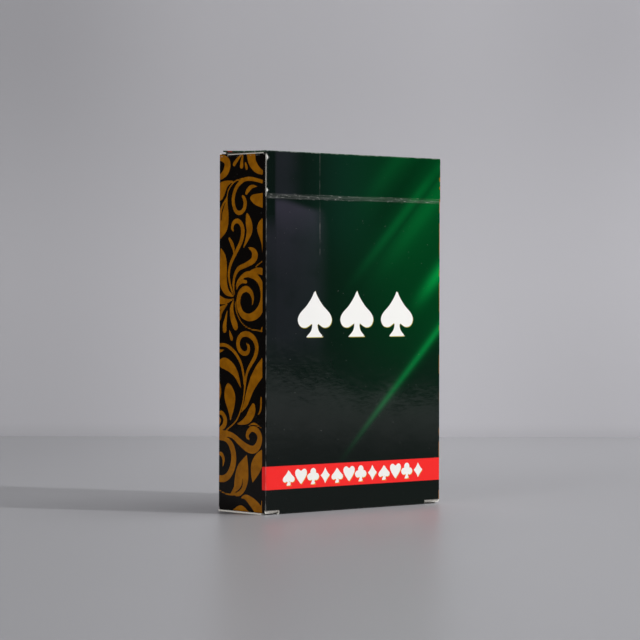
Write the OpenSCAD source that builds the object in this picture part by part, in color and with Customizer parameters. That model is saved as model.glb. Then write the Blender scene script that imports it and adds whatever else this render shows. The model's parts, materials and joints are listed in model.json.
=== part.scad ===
// Deck of playing cards in its folded paperboard tuck box, closed and standing on its bottom.
// The front faces -Y, +Z is up, and the origin is the middle of the base.
// Every card is a plate of its own. The box is one cut sheet, drawn panel by panel between its folds.
// The lid turns down over a crease across the front: strip, then lid top, then tuck flap.

/* [Cards] */
// Width of a card
card_w = 58; // [50:0.5:70]
// Height of a card
card_h = 88; // [80:0.5:100]
// Thickness of a card
card_t = 0.27; // [0.22:0.01:0.32]
// Radius of a card's corners
card_corner_r = 3.5; // [2:0.1:6]
// Air between neighbouring cards
card_gap = 0.012; // [0.01:0.001:0.02]

/* [Box] */
// Thickness of the paperboard
board_t = 0.35; // [0.25:0.01:0.5]
// Free space at each side of the deck
side_slack = 0.95; // [0.8:0.05:2]
// Free space between the front panel and the deck
front_slack = 0.25; // [0.1:0.05:1]
// Slot behind the deck, which takes the tuck flap
tuck_slot = 2.33; // [2:0.01:4]
// Free space between the deck and the dust flaps over it
top_slack = 1.2; // [1:0.05:3]
// Width of the glue flap inside the right side
glue_flap_w = 11; // [6:0.5:14]
// How far the glue flap stops short of the box's ends
glue_flap_inset = 3; // [2:0.5:8]
// How far the glue flap's ends slope
glue_flap_slope = 4; // [2:0.5:8]

/* [Lid] */
// Height of the front strip that turns with the lid
strip_h = 11; // [8:0.5:20]
// Slit between the lid and the sides
slit_gap = 0.06; // [0.03:0.01:0.12]
// Running gap beside a fold that turns
fold_gap = 0.06; // [0.03:0.01:0.12]
// Gap beside the tuck flap's fold, which also closes inwards
tuck_fold_gap = 0.25; // [0.15:0.01:0.4]
// Air between the lid and the dust flaps under it
lay_gap = 0.05; // [0.03:0.01:0.1]
// Length of the tuck flap, from its fold
tuck_len = 10.5; // [6:0.5:11]
// Gap between the tuck flap and the back panel
tuck_gap = 0.5; // [0.3:0.05:0.8]
// How much narrower than the box's inside the tuck flap is, at each end
tuck_inset = 0.85; // [0.5:0.05:3]
// Radius of the tuck flap's lower corners
tuck_corner_r = 5; // [2:0.5:6]
// How far the back panel's cut edge lies below the top of the lid
back_drop = 0.2; // [0.1:0.05:1]

/* [Top dust flaps] */
// Length of a dust flap, from its fold
dust_len = 10; // [6:0.5:14]
// Distance from the front panel to the dust flap at its fold
dust_front_inset = 0.85; // [0.5:0.05:2]
// How far the front edge of the dust flap slopes back
dust_front_slope = 6; // [4:0.5:7]
// Distance from the back panel to the dust flap at its fold
dust_back_inset = 3.15; // [2.5:0.05:4]
// How far the back edge of the dust flap slopes forward
dust_back_slope = 2.7; // [1:0.1:3]

/* [Bottom] */
// Width of the notch at each corner of the bottom fold
relief_w = 5.6; // [3:0.1:9]
// Depth of that notch into the bottom panel
relief_d = 1.6; // [1:0.1:4]
// Length of the bottom's side flaps
bottom_flap_len = 24; // [12:0.5:24]
// How far the bottom's side flaps narrow towards their tips
bottom_flap_slope = 2.5; // [1:0.1:5]

/* [Hidden] */
$fn = 64;
SUITS = ["spades", "diamonds", "clubs", "hearts"];
SPOT_RANKS = ["ace", "two", "three", "four", "five", "six", "seven", "eight", "nine", "ten"];
COURT_RANKS = ["jacks", "queens", "kings"];
jokers_count = 2;
suit_cards = len(SPOT_RANKS) + len(COURT_RANKS);
cards_count = jokers_count + len(SUITS) * suit_cards;

// Layers of the bottom, from the floor up: bottom panel, side flaps, inner flap
side_flap_z = board_t;
inner_flap_z = side_flap_z + board_t;
floor_z = inner_flap_z + board_t;

// The deck sits on the inner flap, close behind the front panel
card_pitch = card_t + card_gap;
deck_d = cards_count * card_pitch - card_gap;
deck_top_z = floor_z + card_h;

// The box is sized around the deck
box_w = card_w + 2 * (side_slack + board_t);
box_d = deck_d + front_slack + tuck_slot + 2 * board_t;
dust_flap_z = deck_top_z + top_slack;
lid_z = dust_flap_z + board_t + lay_gap;
box_h = lid_z + board_t;
half_w = box_w / 2;
front_y = -box_d / 2;
back_y = box_d / 2;
inner_front_y = front_y + board_t;
inner_back_y = back_y - board_t;
deck_y = inner_front_y + front_slack;

// Fold axes lie in the middle of the board
fold_r = board_t / 2;
crease_z = box_h - strip_h;
lid_axis_y = front_y + fold_r;
lid_axis_z = lid_z + fold_r;
tuck_axis_y = inner_back_y - tuck_gap - fold_r;
dust_axis_x = half_w - fold_r;
dust_axis_z = dust_flap_z + fold_r;
side_top_z = dust_flap_z - fold_gap;

CARTON_NODES = [
    "front_panel", "back_panel", "left_side_panel", "right_side_panel", "glue_flap",
    "bottom_panel", "bottom_inner_flap", "bottom_left_flap", "bottom_right_flap",
    "lid_strip", "lid_top", "tuck_flap", "left_dust_flap", "right_dust_flap"
];
SPOT_NODES = [for (s = SUITS) for (r = SPOT_RANKS) str(r, "_of_", s)];

print_green = "#12352a";
print_black = "#14110f";
bare_board = "#e8e4da";
card_white = "#f5f2ea";

// Board standing across the box: an outline in X and Z, one board thick, from y backwards
module upright_board(y, t) {
    translate([0, y + t, 0])
        rotate([90, 0, 0])
            linear_extrude(t)
                children();
}

// Board standing along the box: an outline in Y and Z, one board thick, from x to the right
module side_board(x) {
    translate([x, 0, 0])
        rotate([90, 0, 90])
            linear_extrude(board_t)
                children();
}

// Board lying flat: an outline in X and Y, one board thick, from z up
module flat_board(z) {
    translate([0, 0, z])
        linear_extrude(board_t)
            children();
}

// Rounded bend along X, w long, about the axis at y and z
module bend_along_x(w, y, z) {
    translate([-w / 2, y, z])
        rotate([0, 90, 0])
            cylinder(r = fold_r, h = w);
}

// Rectangle from the first corner to the second
module span(from, to) {
    translate(from)
        square(to - from);
}

// The box's plan, with its upright folds rounded to the board's thickness
module box_plan() {
    span([-half_w, inner_front_y], [half_w, inner_back_y]);
    span([-half_w + board_t, front_y], [half_w - board_t, back_y]);
    for (x = [-half_w + board_t, half_w - board_t], y = [inner_front_y, inner_back_y])
        translate([x, y])
            circle(r = board_t);
}

// What stands inside the box's rounded plan
module within_box() {
    intersection() {
        linear_extrude(box_h)
            box_plan();
        children();
    }
}

module front_panel() {
    color(print_green)
        within_box()
            upright_board(front_y, board_t) {
                span([-half_w, floor_z], [half_w, crease_z - fold_r - fold_gap]);
                span([-half_w + relief_w, board_t], [half_w - relief_w, floor_z]);
            }
}

module back_panel() {
    color(print_green)
        within_box()
            upright_board(inner_back_y, board_t)
                span([-half_w, floor_z], [half_w, box_h - back_drop]);
}

module side_panel(x) {
    color(print_black)
        side_board(x)
            span([inner_front_y + slit_gap, inner_flap_z], [inner_back_y, side_top_z]);
}

module left_side_panel() {
    side_panel(-half_w);
}

module right_side_panel() {
    side_panel(half_w - board_t);
}

// Glued to the inside of the right side, from the back panel forward, with sloped ends
module glue_flap() {
    bottom = floor_z + glue_flap_inset;
    top = dust_flap_z - glue_flap_inset;
    color(bare_board)
        side_board(half_w - 2 * board_t)
            polygon([
                [inner_back_y, bottom],
                [inner_back_y, top],
                [inner_back_y - glue_flap_w, top - glue_flap_slope],
                [inner_back_y - glue_flap_w, bottom + glue_flap_slope]
            ]);
}

// Turned in from the front panel, with a notch at each end of the fold
module bottom_panel() {
    color(print_green)
        flat_board(0) {
            span([-half_w + relief_w, front_y], [half_w - relief_w, front_y + relief_d]);
            span([-half_w, front_y + relief_d], [half_w, back_y]);
        }
}

// Turned in from the back panel, over the side flaps
module bottom_inner_flap() {
    color(bare_board)
        flat_board(inner_flap_z)
            span([-half_w + board_t, inner_front_y], [half_w - board_t, back_y]);
}

// Turned in from a side, narrowing to its tip
module bottom_side_flap() {
    color(bare_board)
        flat_board(side_flap_z)
            polygon([
                [-half_w, inner_front_y],
                [-half_w + bottom_flap_len, inner_front_y + bottom_flap_slope],
                [-half_w + bottom_flap_len, back_y - bottom_flap_slope],
                [-half_w, back_y]
            ]);
}

module bottom_left_flap() {
    bottom_side_flap();
}

module bottom_right_flap() {
    mirror([1, 0, 0])
        bottom_side_flap();
}

// Top of the front, cut free of the sides, which turns about the crease
module lid_strip() {
    strip_w = box_w - 2 * slit_gap;
    color(print_green) {
        upright_board(front_y, board_t)
            span([-strip_w / 2, crease_z], [strip_w / 2, lid_z - fold_gap]);
        bend_along_x(strip_w, lid_axis_y, crease_z);
    }
}

// Top of the box, which turns about its fold with the strip
module lid_top() {
    lid_w = box_w - 2 * slit_gap;
    color(print_black) {
        flat_board(lid_z)
            span([-lid_w / 2, lid_axis_y], [lid_w / 2, tuck_axis_y - fold_r - tuck_fold_gap]);
        bend_along_x(lid_w, lid_axis_y, lid_axis_z);
    }
}

// Flap at the back of the lid, which goes down between the deck and the back panel
module tuck_flap() {
    tuck_w = box_w - 2 * (board_t + tuck_inset);
    tip_z = lid_axis_z - tuck_len;
    color(bare_board) {
        upright_board(tuck_axis_y - fold_r, board_t) {
            span([-tuck_w / 2, tip_z + tuck_corner_r], [tuck_w / 2, lid_axis_z]);
            span([-tuck_w / 2 + tuck_corner_r, tip_z], [tuck_w / 2 - tuck_corner_r, tip_z + tuck_corner_r]);
            for (x = [-1, 1])
                translate([x * (tuck_w / 2 - tuck_corner_r), tip_z + tuck_corner_r])
                    circle(r = tuck_corner_r);
        }
        bend_along_x(tuck_w, tuck_axis_y, lid_axis_z);
    }
}

// Flap turned in from the top of the left side, under the lid
module top_dust_flap() {
    fold_front_y = inner_front_y + dust_front_inset;
    fold_back_y = inner_back_y - dust_back_inset;
    color(bare_board) {
        flat_board(dust_flap_z)
            polygon([
                [-dust_axis_x, fold_front_y],
                [-dust_axis_x + dust_len, fold_front_y + dust_front_slope],
                [-dust_axis_x + dust_len, fold_back_y - dust_back_slope],
                [-dust_axis_x, fold_back_y]
            ]);
        translate([-dust_axis_x, fold_front_y, dust_axis_z])
            rotate([-90, 0, 0])
                cylinder(r = fold_r, h = fold_back_y - fold_front_y);
    }
}

module left_dust_flap() {
    top_dust_flap();
}

module right_dust_flap() {
    mirror([1, 0, 0])
        top_dust_flap();
}

module card_outline() {
    span([-card_w / 2, card_corner_r], [card_w / 2, card_h - card_corner_r]);
    span([-card_w / 2 + card_corner_r, 0], [card_w / 2 - card_corner_r, card_h]);
    for (x = [-1, 1], z = [card_corner_r, card_h - card_corner_r])
        translate([x * (card_w / 2 - card_corner_r), z])
            circle(r = card_corner_r);
}

// One card, counted from the front of the deck
module card(place) {
    color(card_white)
        translate([0, 0, floor_z])
            upright_board(deck_y + place * card_pitch, card_t)
                card_outline();
}

// Each suit lies in order from its ace to its king, and the jokers follow at the back
function card_place(suit, rank) = suit * suit_cards + rank;

module jokers() {
    for (joker = [0 : jokers_count - 1])
        card(len(SUITS) * suit_cards + joker);
}

module spot_card(suit, rank) {
    card(card_place(suit, rank));
}

module court_cards(rank) {
    for (suit = [0 : len(SUITS) - 1])
        card(card_place(suit, len(SPOT_RANKS) + rank));
}

front_panel();
back_panel();
left_side_panel();
right_side_panel();
glue_flap();
bottom_panel();
bottom_inner_flap();
bottom_left_flap();
bottom_right_flap();
lid_strip();
lid_top();
tuck_flap();
left_dust_flap();
right_dust_flap();
for (s = [0 : len(SUITS) - 1], r = [0 : len(SPOT_RANKS) - 1])
    spot_card(s, r);
for (r = [0 : len(COURT_RANKS) - 1])
    court_cards(r);
jokers();
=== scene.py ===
"""Deck of playing cards in its tuck box: board, print, cards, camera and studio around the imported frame.

Lengths are millimetres until a mesh is made. The box is drawn as its maker cuts it: flat sheets of board
in net coordinates, u along the panels and v up, which are then turned round their folds.
"""
import json
import logging
import math
from dataclasses import dataclass, fields
from enum import Enum, IntEnum
from itertools import cycle
from typing import Callable

import bpy
import numpy as np
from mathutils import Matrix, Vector


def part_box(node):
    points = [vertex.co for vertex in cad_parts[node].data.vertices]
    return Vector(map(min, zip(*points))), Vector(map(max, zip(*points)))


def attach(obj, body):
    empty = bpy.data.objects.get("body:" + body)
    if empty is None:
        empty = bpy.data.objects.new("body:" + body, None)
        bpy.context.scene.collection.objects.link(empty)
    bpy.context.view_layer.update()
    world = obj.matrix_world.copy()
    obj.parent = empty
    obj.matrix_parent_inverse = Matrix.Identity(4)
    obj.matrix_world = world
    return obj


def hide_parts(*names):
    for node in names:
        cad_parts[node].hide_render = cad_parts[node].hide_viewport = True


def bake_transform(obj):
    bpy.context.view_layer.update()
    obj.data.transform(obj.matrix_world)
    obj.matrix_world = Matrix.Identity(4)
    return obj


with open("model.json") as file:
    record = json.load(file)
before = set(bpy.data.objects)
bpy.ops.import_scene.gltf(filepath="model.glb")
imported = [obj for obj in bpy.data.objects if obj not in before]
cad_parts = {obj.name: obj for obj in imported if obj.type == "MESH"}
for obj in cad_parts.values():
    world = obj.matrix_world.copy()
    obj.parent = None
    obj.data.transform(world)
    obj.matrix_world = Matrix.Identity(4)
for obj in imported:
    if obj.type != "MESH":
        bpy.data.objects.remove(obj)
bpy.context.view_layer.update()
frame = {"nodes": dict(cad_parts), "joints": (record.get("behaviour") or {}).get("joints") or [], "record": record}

LOG = logging.getLogger("card_deck")
MM = 0.001
# Distance in millimetres of a point that is far outside a printed mark.
FAR_OUT = -9.0
Array = np.ndarray
Rect = tuple[float, float, float, float]
Stroke = tuple[tuple[float, float, float], ...]


def linear(colour: str) -> tuple[float, float, float, float]:
    """Turn an sRGB hex colour into linear light.

    Args:
        colour: Six hex digits after a hash.

    Returns:
        Red, green and blue in linear light, with an alpha of 1.
    """
    parts = [int(colour[i:i + 2], 16) / 255 for i in (1, 3, 5)]
    red, green, blue = (c / 12.92 if c <= 0.04045 else ((c + 0.055) / 1.055) ** 2.4 for c in parts)
    return red, green, blue, 1.0


def add_node(tree: bpy.types.NodeTree, kind: str, settings: dict | None = None,
             inputs: dict | None = None) -> bpy.types.Node:
    """Add a node with its settings, input values and links.

    Args:
        tree: The node tree that takes the node.
        kind: Blender's name for the kind of node.
        settings: Properties to set on the node.
        inputs: Value or output socket for each input, by its name or place.

    Returns:
        The new node.
    """
    node = tree.nodes.new(kind)
    for name, value in (settings or {}).items():
        setattr(node, name, value)
    for name, value in (inputs or {}).items():
        if isinstance(value, bpy.types.NodeSocket):
            tree.links.new(value, node.inputs[name])
        else:
            node.inputs[name].default_value = value
    return node


def ease(low: float, high: float, value: Array) -> Array:
    """Rise smoothly from 0 at low to 1 at high."""
    t = np.clip((value - low) / (high - low), 0.0, 1.0)
    return t * t * (3 - 2 * t)


def bell(value: Array, half_width: float) -> Array:
    """Fall smoothly from 1 at zero, to about a third at the half width."""
    return np.exp(-(value / half_width) ** 2)


def lines(*stops: float, step: float) -> Array:
    """Divide each stretch between neighbouring stops evenly.

    Args:
        stops: Places that get a line, from low to high.
        step: Widest distance between two lines.

    Returns:
        All lines, from low to high.
    """
    parts = [np.linspace(a, b, max(1, math.ceil((b - a) / step - 1e-6)), endpoint=False)
             for a, b in zip(stops, stops[1:])]
    return np.concatenate([*parts, [stops[-1]]])


def joined(*parts: Array) -> Array:
    """Join runs of lines into one run with no line twice."""
    return np.unique(np.round(np.concatenate(parts), 5))


@dataclass(frozen=True)
class BoxSizes:
    """Sizes of the box, in millimetres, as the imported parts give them."""

    half_w: float
    front_y: float
    back_y: float
    top_z: float
    board: float
    crease_z: float
    tuck_y: float
    dust_z: float
    slit: float
    upright_r: float = 0.4
    flat_r: float = 0.38
    crease_reach: float = 0.5
    corner_z: float = 1.1
    relief_w: float = 5.6
    relief_d: float = 1.6

    @property
    def width(self) -> float:
        """Width of the front."""
        return 2 * self.half_w

    @property
    def depth(self) -> float:
        """Depth of the side."""
        return self.back_y - self.front_y

    @property
    def left_u(self) -> float:
        """Where the left side begins in the net."""
        return self.width

    @property
    def front_u(self) -> float:
        """Where the front begins in the net."""
        return self.width + self.depth

    @property
    def right_u(self) -> float:
        """Where the right side begins in the net."""
        return 2 * self.width + self.depth

    @property
    def end_u(self) -> float:
        """Where the right side ends in the net."""
        return 2 * (self.width + self.depth)

    @classmethod
    def from_frame(cls) -> "BoxSizes":
        """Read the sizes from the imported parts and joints.

        Returns:
            The sizes.
        """
        front, back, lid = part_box("front_panel"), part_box("back_panel"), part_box("lid_top")
        axes = {joint["name"]: joint.get("pos_m") for joint in frame["joints"]}
        return cls(
            half_w=front[1].x / MM,
            front_y=front[0].y / MM,
            back_y=back[1].y / MM,
            top_z=lid[1].z / MM,
            board=(front[1].y - front[0].y) / MM,
            crease_z=axes["front_crease"][2] / MM,
            tuck_y=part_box("tuck_flap")[1].y / MM,
            dust_z=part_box("left_dust_flap")[1].z / MM,
            slit=(front[1].x - lid[1].x) / MM,
        )


class Suit(Enum):
    """The four suits of a deck."""

    SPADE = "spade"
    HEART = "heart"
    CLUB = "club"
    DIAMOND = "diamond"


class Panel(IntEnum):
    """The sleeve's panels, in the order of the net."""

    BACK = 0
    LEFT = 1
    FRONT = 2
    RIGHT = 3


class Side(IntEnum):
    """Sides of the box, by the sign of x."""

    LEFT = -1
    RIGHT = 1


class Facing(IntEnum):
    """Which way a card's printed face looks, by the sign of y."""

    FRONT = -1
    BACK = 1


def rounded_path(points: Array, closed: bool, steps: int = 8) -> Array:
    """Draw a smooth curve through given points.

    Args:
        points: One row for each point, with any number of columns.
        closed: Whether the curve returns to its first point.
        steps: Short stretches between neighbouring points.

    Returns:
        The points of the curve.
    """
    if closed:
        ring = np.vstack([points[-1], points, points[:2]])
    else:
        ring = np.vstack([2 * points[0] - points[1], points, 2 * points[-1] - points[-2]])
    t = np.linspace(0, 1, steps, endpoint=False)[:, None]
    runs = []
    for a, b, c, d in zip(ring, ring[1:], ring[2:], ring[3:]):
        runs.append(0.5 * (2 * b + (c - a) * t + (2 * a - 5 * b + 4 * c - d) * t ** 2
                           + (3 * b - a - 3 * c + d) * t ** 3))
    return np.vstack(runs) if closed else np.vstack([*runs, points[-1:]])


def outline_reach(outline: Array, x: Array, y: Array) -> Array:
    """Measure how far points lie inside a closed outline.

    Args:
        outline: Corners of the outline, in order.
        x: Places across.
        y: Places up.

    Returns:
        Distance to the outline, above zero inside it.
    """
    inside = np.zeros(x.shape, bool)
    nearest = np.full(x.shape, np.inf)
    for (ax, ay), (bx, by) in zip(outline, np.roll(outline, -1, axis=0)):
        run_x, run_y = bx - ax, by - ay
        length = max(run_x ** 2 + run_y ** 2, 1e-12)
        share = np.clip(((x - ax) * run_x + (y - ay) * run_y) / length, 0, 1)
        nearest = np.minimum(nearest, np.hypot(x - ax - share * run_x, y - ay - share * run_y))
        if ay != by:
            inside ^= ((ay > y) != (by > y)) & (x < ax + run_x * (y - ay) / run_y)
    return np.where(inside, nearest, -nearest)


def mirrored(half: tuple[tuple[float, float], ...]) -> Array:
    """Complete an outline from its right half.

    Args:
        half: Points of the right half, from top to bottom.

    Returns:
        The closed outline.
    """
    right = rounded_path(np.array(half), closed=False, steps=5)
    left = right[::-1] * (-1, 1)
    keep = np.abs(left[:, 0]) > 1e-9
    return np.vstack([right, left[keep]])


@dataclass(frozen=True)
class Pips:
    """Outlines of the suits, one unit high about their middle, from listed points."""

    spade: tuple[tuple[float, float], ...] = (
        (0.0, 0.5), (0.07, 0.36), (0.22, 0.17), (0.41, 0.0), (0.47, -0.14), (0.4, -0.27), (0.25, -0.3),
        (0.11, -0.23), (0.07, -0.2), (0.1, -0.36), (0.24, -0.5))
    heart: tuple[tuple[float, float], ...] = (
        (0.0, 0.28), (0.07, 0.38), (0.2, 0.47), (0.36, 0.45), (0.46, 0.31), (0.44, 0.13), (0.3, -0.12),
        (0.13, -0.32), (0.0, -0.5))
    diamond: tuple[tuple[float, float], ...] = (
        (0.0, 0.5), (0.12, 0.27), (0.25, 0.11), (0.37, 0.0), (0.25, -0.11), (0.12, -0.27), (0.0, -0.5))
    club_stem: tuple[tuple[float, float], ...] = (
        (0.0, 0.1), (0.06, 0.0), (0.08, -0.2), (0.12, -0.38), (0.25, -0.5))
    club_lobes: tuple[tuple[float, float, float], ...] = (
        (0.0, 0.27, 0.22), (-0.25, -0.04, 0.22), (0.25, -0.04, 0.22))

    def reach(self, suit: Suit, x: Array, y: Array, height: float) -> Array:
        """Measure how far points lie inside a pip.

        Args:
            suit: Which pip.
            x: Places across, from the pip's middle.
            y: Places up, from the pip's middle.
            height: Height of the pip.

        Returns:
            Distance to the pip's edge, above zero inside it.
        """
        px, py = x / height, y / height
        if suit is Suit.CLUB:
            found = outline_reach(mirrored(self.club_stem), px, py)
            for lobe_x, lobe_y, radius in self.club_lobes:
                found = np.maximum(found, radius - np.hypot(px - lobe_x, py - lobe_y))
            return found * height
        half = {Suit.SPADE: self.spade, Suit.HEART: self.heart, Suit.DIAMOND: self.diamond}[suit]
        return outline_reach(mirrored(half), px, py) * height


@dataclass(frozen=True)
class ScrollOrnament:
    """Leaf scroll of the sides: tapered strokes of (s, z, width), s from the back fold, z from the floor."""

    margin: tuple[float, float] = (0.15, 17.1)
    rise: float = 0.78
    strokes: tuple[Stroke, ...] = (
        ((-0.3, 89.4, 1.6), (1.5, 89.1, 1.8), (3, 88.3, 2.1), (3.35, 87.1, 2.3), (2.6, 85.5, 2.1),
         (1.1, 84.5, 1.6), (-0.3, 84.1, 1.2)),
        ((8.9, 89.8, 0.3), (7.3, 88.6, 0.9), (6, 87.4, 1.1)),
        ((9.4, 89.9, 0.3), (9, 88.1, 1), (8.9, 86.8, 1.3)),
        ((10.3, 87.8, 0.2), (10.6, 87, 0.8), (10.9, 86.2, 0.9)),
        ((12.4, 91, 3.2), (12.6, 89.4, 3.2), (13.1, 87.6, 2.7), (14.9, 85.8, 2), (17.2, 84.8, 1)),
        ((17.2, 82.55, 0.9), (12.8, 83.4, 1), (9.8, 83.25, 1.05), (7.1, 81.6, 1.1), (5.8, 79.2, 1.15),
         (5.8, 77.1, 1.15), (6.8, 75.3, 1.1), (8.4, 74.85, 1.1), (9.9, 75.7, 1.15), (10.4, 77.3, 1.25),
         (10, 78.4, 1.1), (9.4, 79.05, 0.7)),
        ((9.4, 83.6, 0.35), (6.3, 82.95, 0.35), (3.9, 81, 0.35), (3.2, 79, 0.3)),
        ((0, 80.3, 4.4), (1.3, 81.4, 3.2), (2.7, 82.35, 1.8), (4.2, 82.8, 0.9), (5.7, 83, 0.3)),
        ((3.2, 79, 0.3), (2.4, 76.8, 2.2), (1.8, 74.2, 4.1), (1.6, 71.6, 3.8), (0.4, 69.3, 2)),
        ((15, 81.5, 0.2), (12.8, 81.4, 1), (11.4, 80.5, 1.2), (10.8, 79.8, 0.8)),
        ((12.9, 78.5, 1.2), (13.6, 78.4, 2), (14.9, 78.1, 2.9), (17.3, 77.8, 3.8)),
        ((5.7, 70.3, 0.5), (5.3, 71.2, 0.9), (6.1, 72.5, 1.15), (7.7, 72.75, 1.2), (9.1, 71.6, 1.3),
         (9.5, 69.7, 1.35), (8.7, 67.3, 1.2), (6.7, 64.6, 1.1), (4.75, 61.8, 0.95), (4, 59.1, 0.8),
         (4.4, 57, 0.7), (5.2, 55, 0.5), (6.1, 53.7, 0.15)),
        ((11.2, 74.2, 1), (11.8, 72.2, 2.3), (12.1, 70.4, 2.2), (11.4, 68.5, 1.4), (9.8, 65.9, 0.2)),
        ((17, 72.6, 1.4), (16.5, 70.8, 2.9), (17, 68.5, 1.9), (17.2, 66.5, 0.9), (17.2, 63.6, 0.2)),
        ((4.2, 68.3, 0.7), (5.2, 67, 1.15), (5.9, 65.6, 0.8), (5.9, 64.4, 0.2)),
        ((0.8, 65.8, 0.3), (1.6, 63.4, 2.4), (1.7, 60.7, 3.1), (1.6, 58.9, 3.1), (2, 56.5, 2.8),
         (3.1, 54.75, 1.9), (4.7, 53.85, 0.9), (6.1, 53.4, 0.15)),
        ((11.6, 65.9, 0.2), (13.3, 65.3, 1.2), (14.2, 64, 2.2), (13.4, 62.6, 1.7), (10.8, 61.5, 1.3),
         (8, 60.6, 1.2), (6.5, 59, 0.95), (5.9, 57, 0.8), (6, 55.2, 0.5), (6.5, 53.8, 0.15)),
        ((17.2, 62.5, 0.3), (14.6, 61.1, 0.3)),
        ((17.4, 59.7, 1.9), (15.6, 60, 1.6), (13.5, 59.8, 1.2), (11.5, 59.3, 0.6)),
        ((6.9, 55.9, 0.2), (7.7, 57.3, 0.6), (9.4, 58.5, 1.1), (11.2, 59.1, 1.5), (13.2, 58.9, 1.7),
         (15.6, 57.7, 1.6), (17.05, 55.4, 1.7), (17.35, 53, 1.9), (16.6, 50.7, 2.2), (14.8, 48.9, 2.3),
         (12, 48.1, 1.9), (9.4, 48.9, 1.7), (8, 50.9, 1.6), (7.9, 52.8, 1.5), (8.8, 54.6, 1.5),
         (10.8, 55.4, 1.55), (12.6, 54.6, 1.3), (13.4, 53.2, 0.9), (13.4, 52, 0.5), (13.2, 51.3, 0.2)),
        ((7.1, 55.2, 0.2), (7.8, 56.4, 0.6), (9.2, 57.2, 0.9), (10.8, 57.2, 0.85)),
        ((0.1, 52.6, 2.3), (2.3, 52.2, 1.5), (4.3, 52.4, 0.7), (6, 52.8, 0.15)),
        ((0.1, 50.3, 1), (1.5, 50.7, 0.6), (3.9, 51.6, 0.15)),
        ((0, 48, 1.9), (0.9, 49.3, 1), (3.3, 51.3, 0.15)),
        ((3.5, 50, 0.15), (2.9, 47.9, 0.8), (2.4, 46, 1.4), (2.4, 44.8, 1.5)),
        ((6, 52.6, 0.15), (5.2, 50.4, 1.3), (5.6, 48, 1.8), (6.5, 46.2, 2), (6.8, 45.6, 1.7)),
        ((4.3, 44.8, 0.2), (4.8, 43.5, 0.9), (5.2, 42.6, 1.1)),
        ((6.5, 52.3, 0.25), (7.1, 49.5, 0.35), (9.2, 46.7, 0.35), (12.4, 45.2, 0.35), (17.2, 44.6, 0.4)),
        ((17.2, 45.4, 0.9), (16.5, 44.8, 0.2)),
        ((11, 41.5, 0.3), (11.9, 40.6, 0.9), (11.5, 39.2, 1.15), (9.8, 38.9, 1.15), (8.1, 40.1, 1.3),
         (7.8, 42, 1.35), (9.2, 43.6, 1.3), (11.6, 43.8, 1.45), (14, 42.6, 1.45), (15, 40.5, 1.3),
         (14.4, 38.2, 1.2), (12.8, 36.2, 1), (11.4, 34.2, 0.8), (10.7, 31.9, 0.7), (10.2, 28.8, 0.45),
         (9.4, 25.6, 0.4), (7.2, 21.7, 0.4), (3.2, 19, 0.35)),
        ((0, 40.9, 0.9), (3.1, 40.8, 0.9), (6.3, 39.2, 0.9), (8.8, 36.5, 0.8), (9.9, 33.5, 0.7),
         (10.2, 31, 0.5)),
        ((0, 39.3, 1), (2.2, 39.6, 0.2)),
        ((0.3, 36.2, 1.2), (1.4, 36.2, 2.4), (2.8, 36.1, 3), (5.1, 35.1, 2.7), (7.1, 33.3, 1.7),
         (9, 29.9, 0.15)),
        ((17.4, 37.2, 1.6), (16.2, 34.7, 3.5), (14.2, 32.3, 3.2), (12.7, 30, 2.4), (11.9, 28.4, 2.1),
         (10.8, 26, 1.5), (9.1, 23.8, 0.15)),
        ((0, 31.6, 0.6), (0.1, 29, 2), (0, 26.4, 0.6)),
        ((3.9, 30.3, 1.6), (4.2, 29, 3.4), (4.6, 27.4, 4.2), (4.9, 25.2, 2.8), (4.9, 23.3, 1.3),
         (4.8, 21.5, 0.15)),
        ((13.7, 25.6, 1.3), (13.2, 24.1, 2.5), (11.8, 22.3, 2.3), (9.8, 21.3, 1.3), (7.4, 20.7, 0.2)),
        ((16.7, 27.8, 0.5), (16.6, 25.3, 0.6), (16.2, 24.1, 0.5), (15.4, 23.3, 0.15)),
        ((12, 20.5, 0.2), (14.1, 21.1, 0.5), (16.8, 20.1, 0.25)),
        ((0, 23.3, 1), (1.5, 23.3, 1.1), (2.7, 21.8, 1.4), (2.2, 20.1, 1.4), (0.3, 19.1, 0.8)),
        ((0, 22.2, 0.8), (0.6, 21.5, 0.8), (0.3, 20.6, 0.6)),
        ((0, 17.9, 1.9), (3.1, 18.1, 1.5), (5.9, 17.6, 1.4), (8.8, 16, 1.7), (11.6, 14.7, 2), (14, 14.5, 2),
         (15.7, 15.8, 2), (16.2, 17.8, 1.7), (15.1, 19.3, 1.6), (13.2, 19.7, 1.4), (11.8, 18.8, 1.3),
         (11.4, 17.7, 1), (12.2, 17, 0.4)),
        ((0, 16.9, 1), (3.1, 16.6, 1.2), (5.1, 15.2, 1.8), (6.1, 12.7, 1.9), (5.8, 10, 2), (4.3, 7.6, 1.9),
         (2.3, 6.5, 1.8), (0, 6.4, 1.7)),
        ((0, 12.9, 0.9), (1.3, 12.7, 1), (2.1, 11.4, 0.9), (1.8, 9.5, 0.2)),
        ((11.2, 12.9, 0.2), (10.5, 11.1, 2.2), (9.6, 8.8, 4.5), (9.1, 6.5, 5.1), (8.3, 4.5, 4),
         (7.3, 3.1, 1.8)),
        ((8, 5, 2.5), (6.4, 3.6, 1.4), (5, 2.7, 0.3)),
        ((7.6, 2.8, 0.5), (5.1, 2.5, 0.45), (2.7, 2.7, 0.35), (0, 3.5, 0.3)),
        ((17.3, 14.1, 1.2), (16.1, 12.4, 3), (15, 10.5, 3.9), (14.2, 8.5, 2.6), (13.5, 6.1, 0.15)),
        ((9, 1.9, 0.2), (10.8, 2.2, 1.3), (13, 1.2, 2.3), (15, -0.2, 2.9), (16.4, -1.6, 3.1)),
        ((17, 1.6, 0.3), (17.2, 0.4, 0.7)),
        ((6.3, -1.6, 1), (9, -1.1, 2.2), (11.6, -1.8, 1)),
    )
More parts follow.
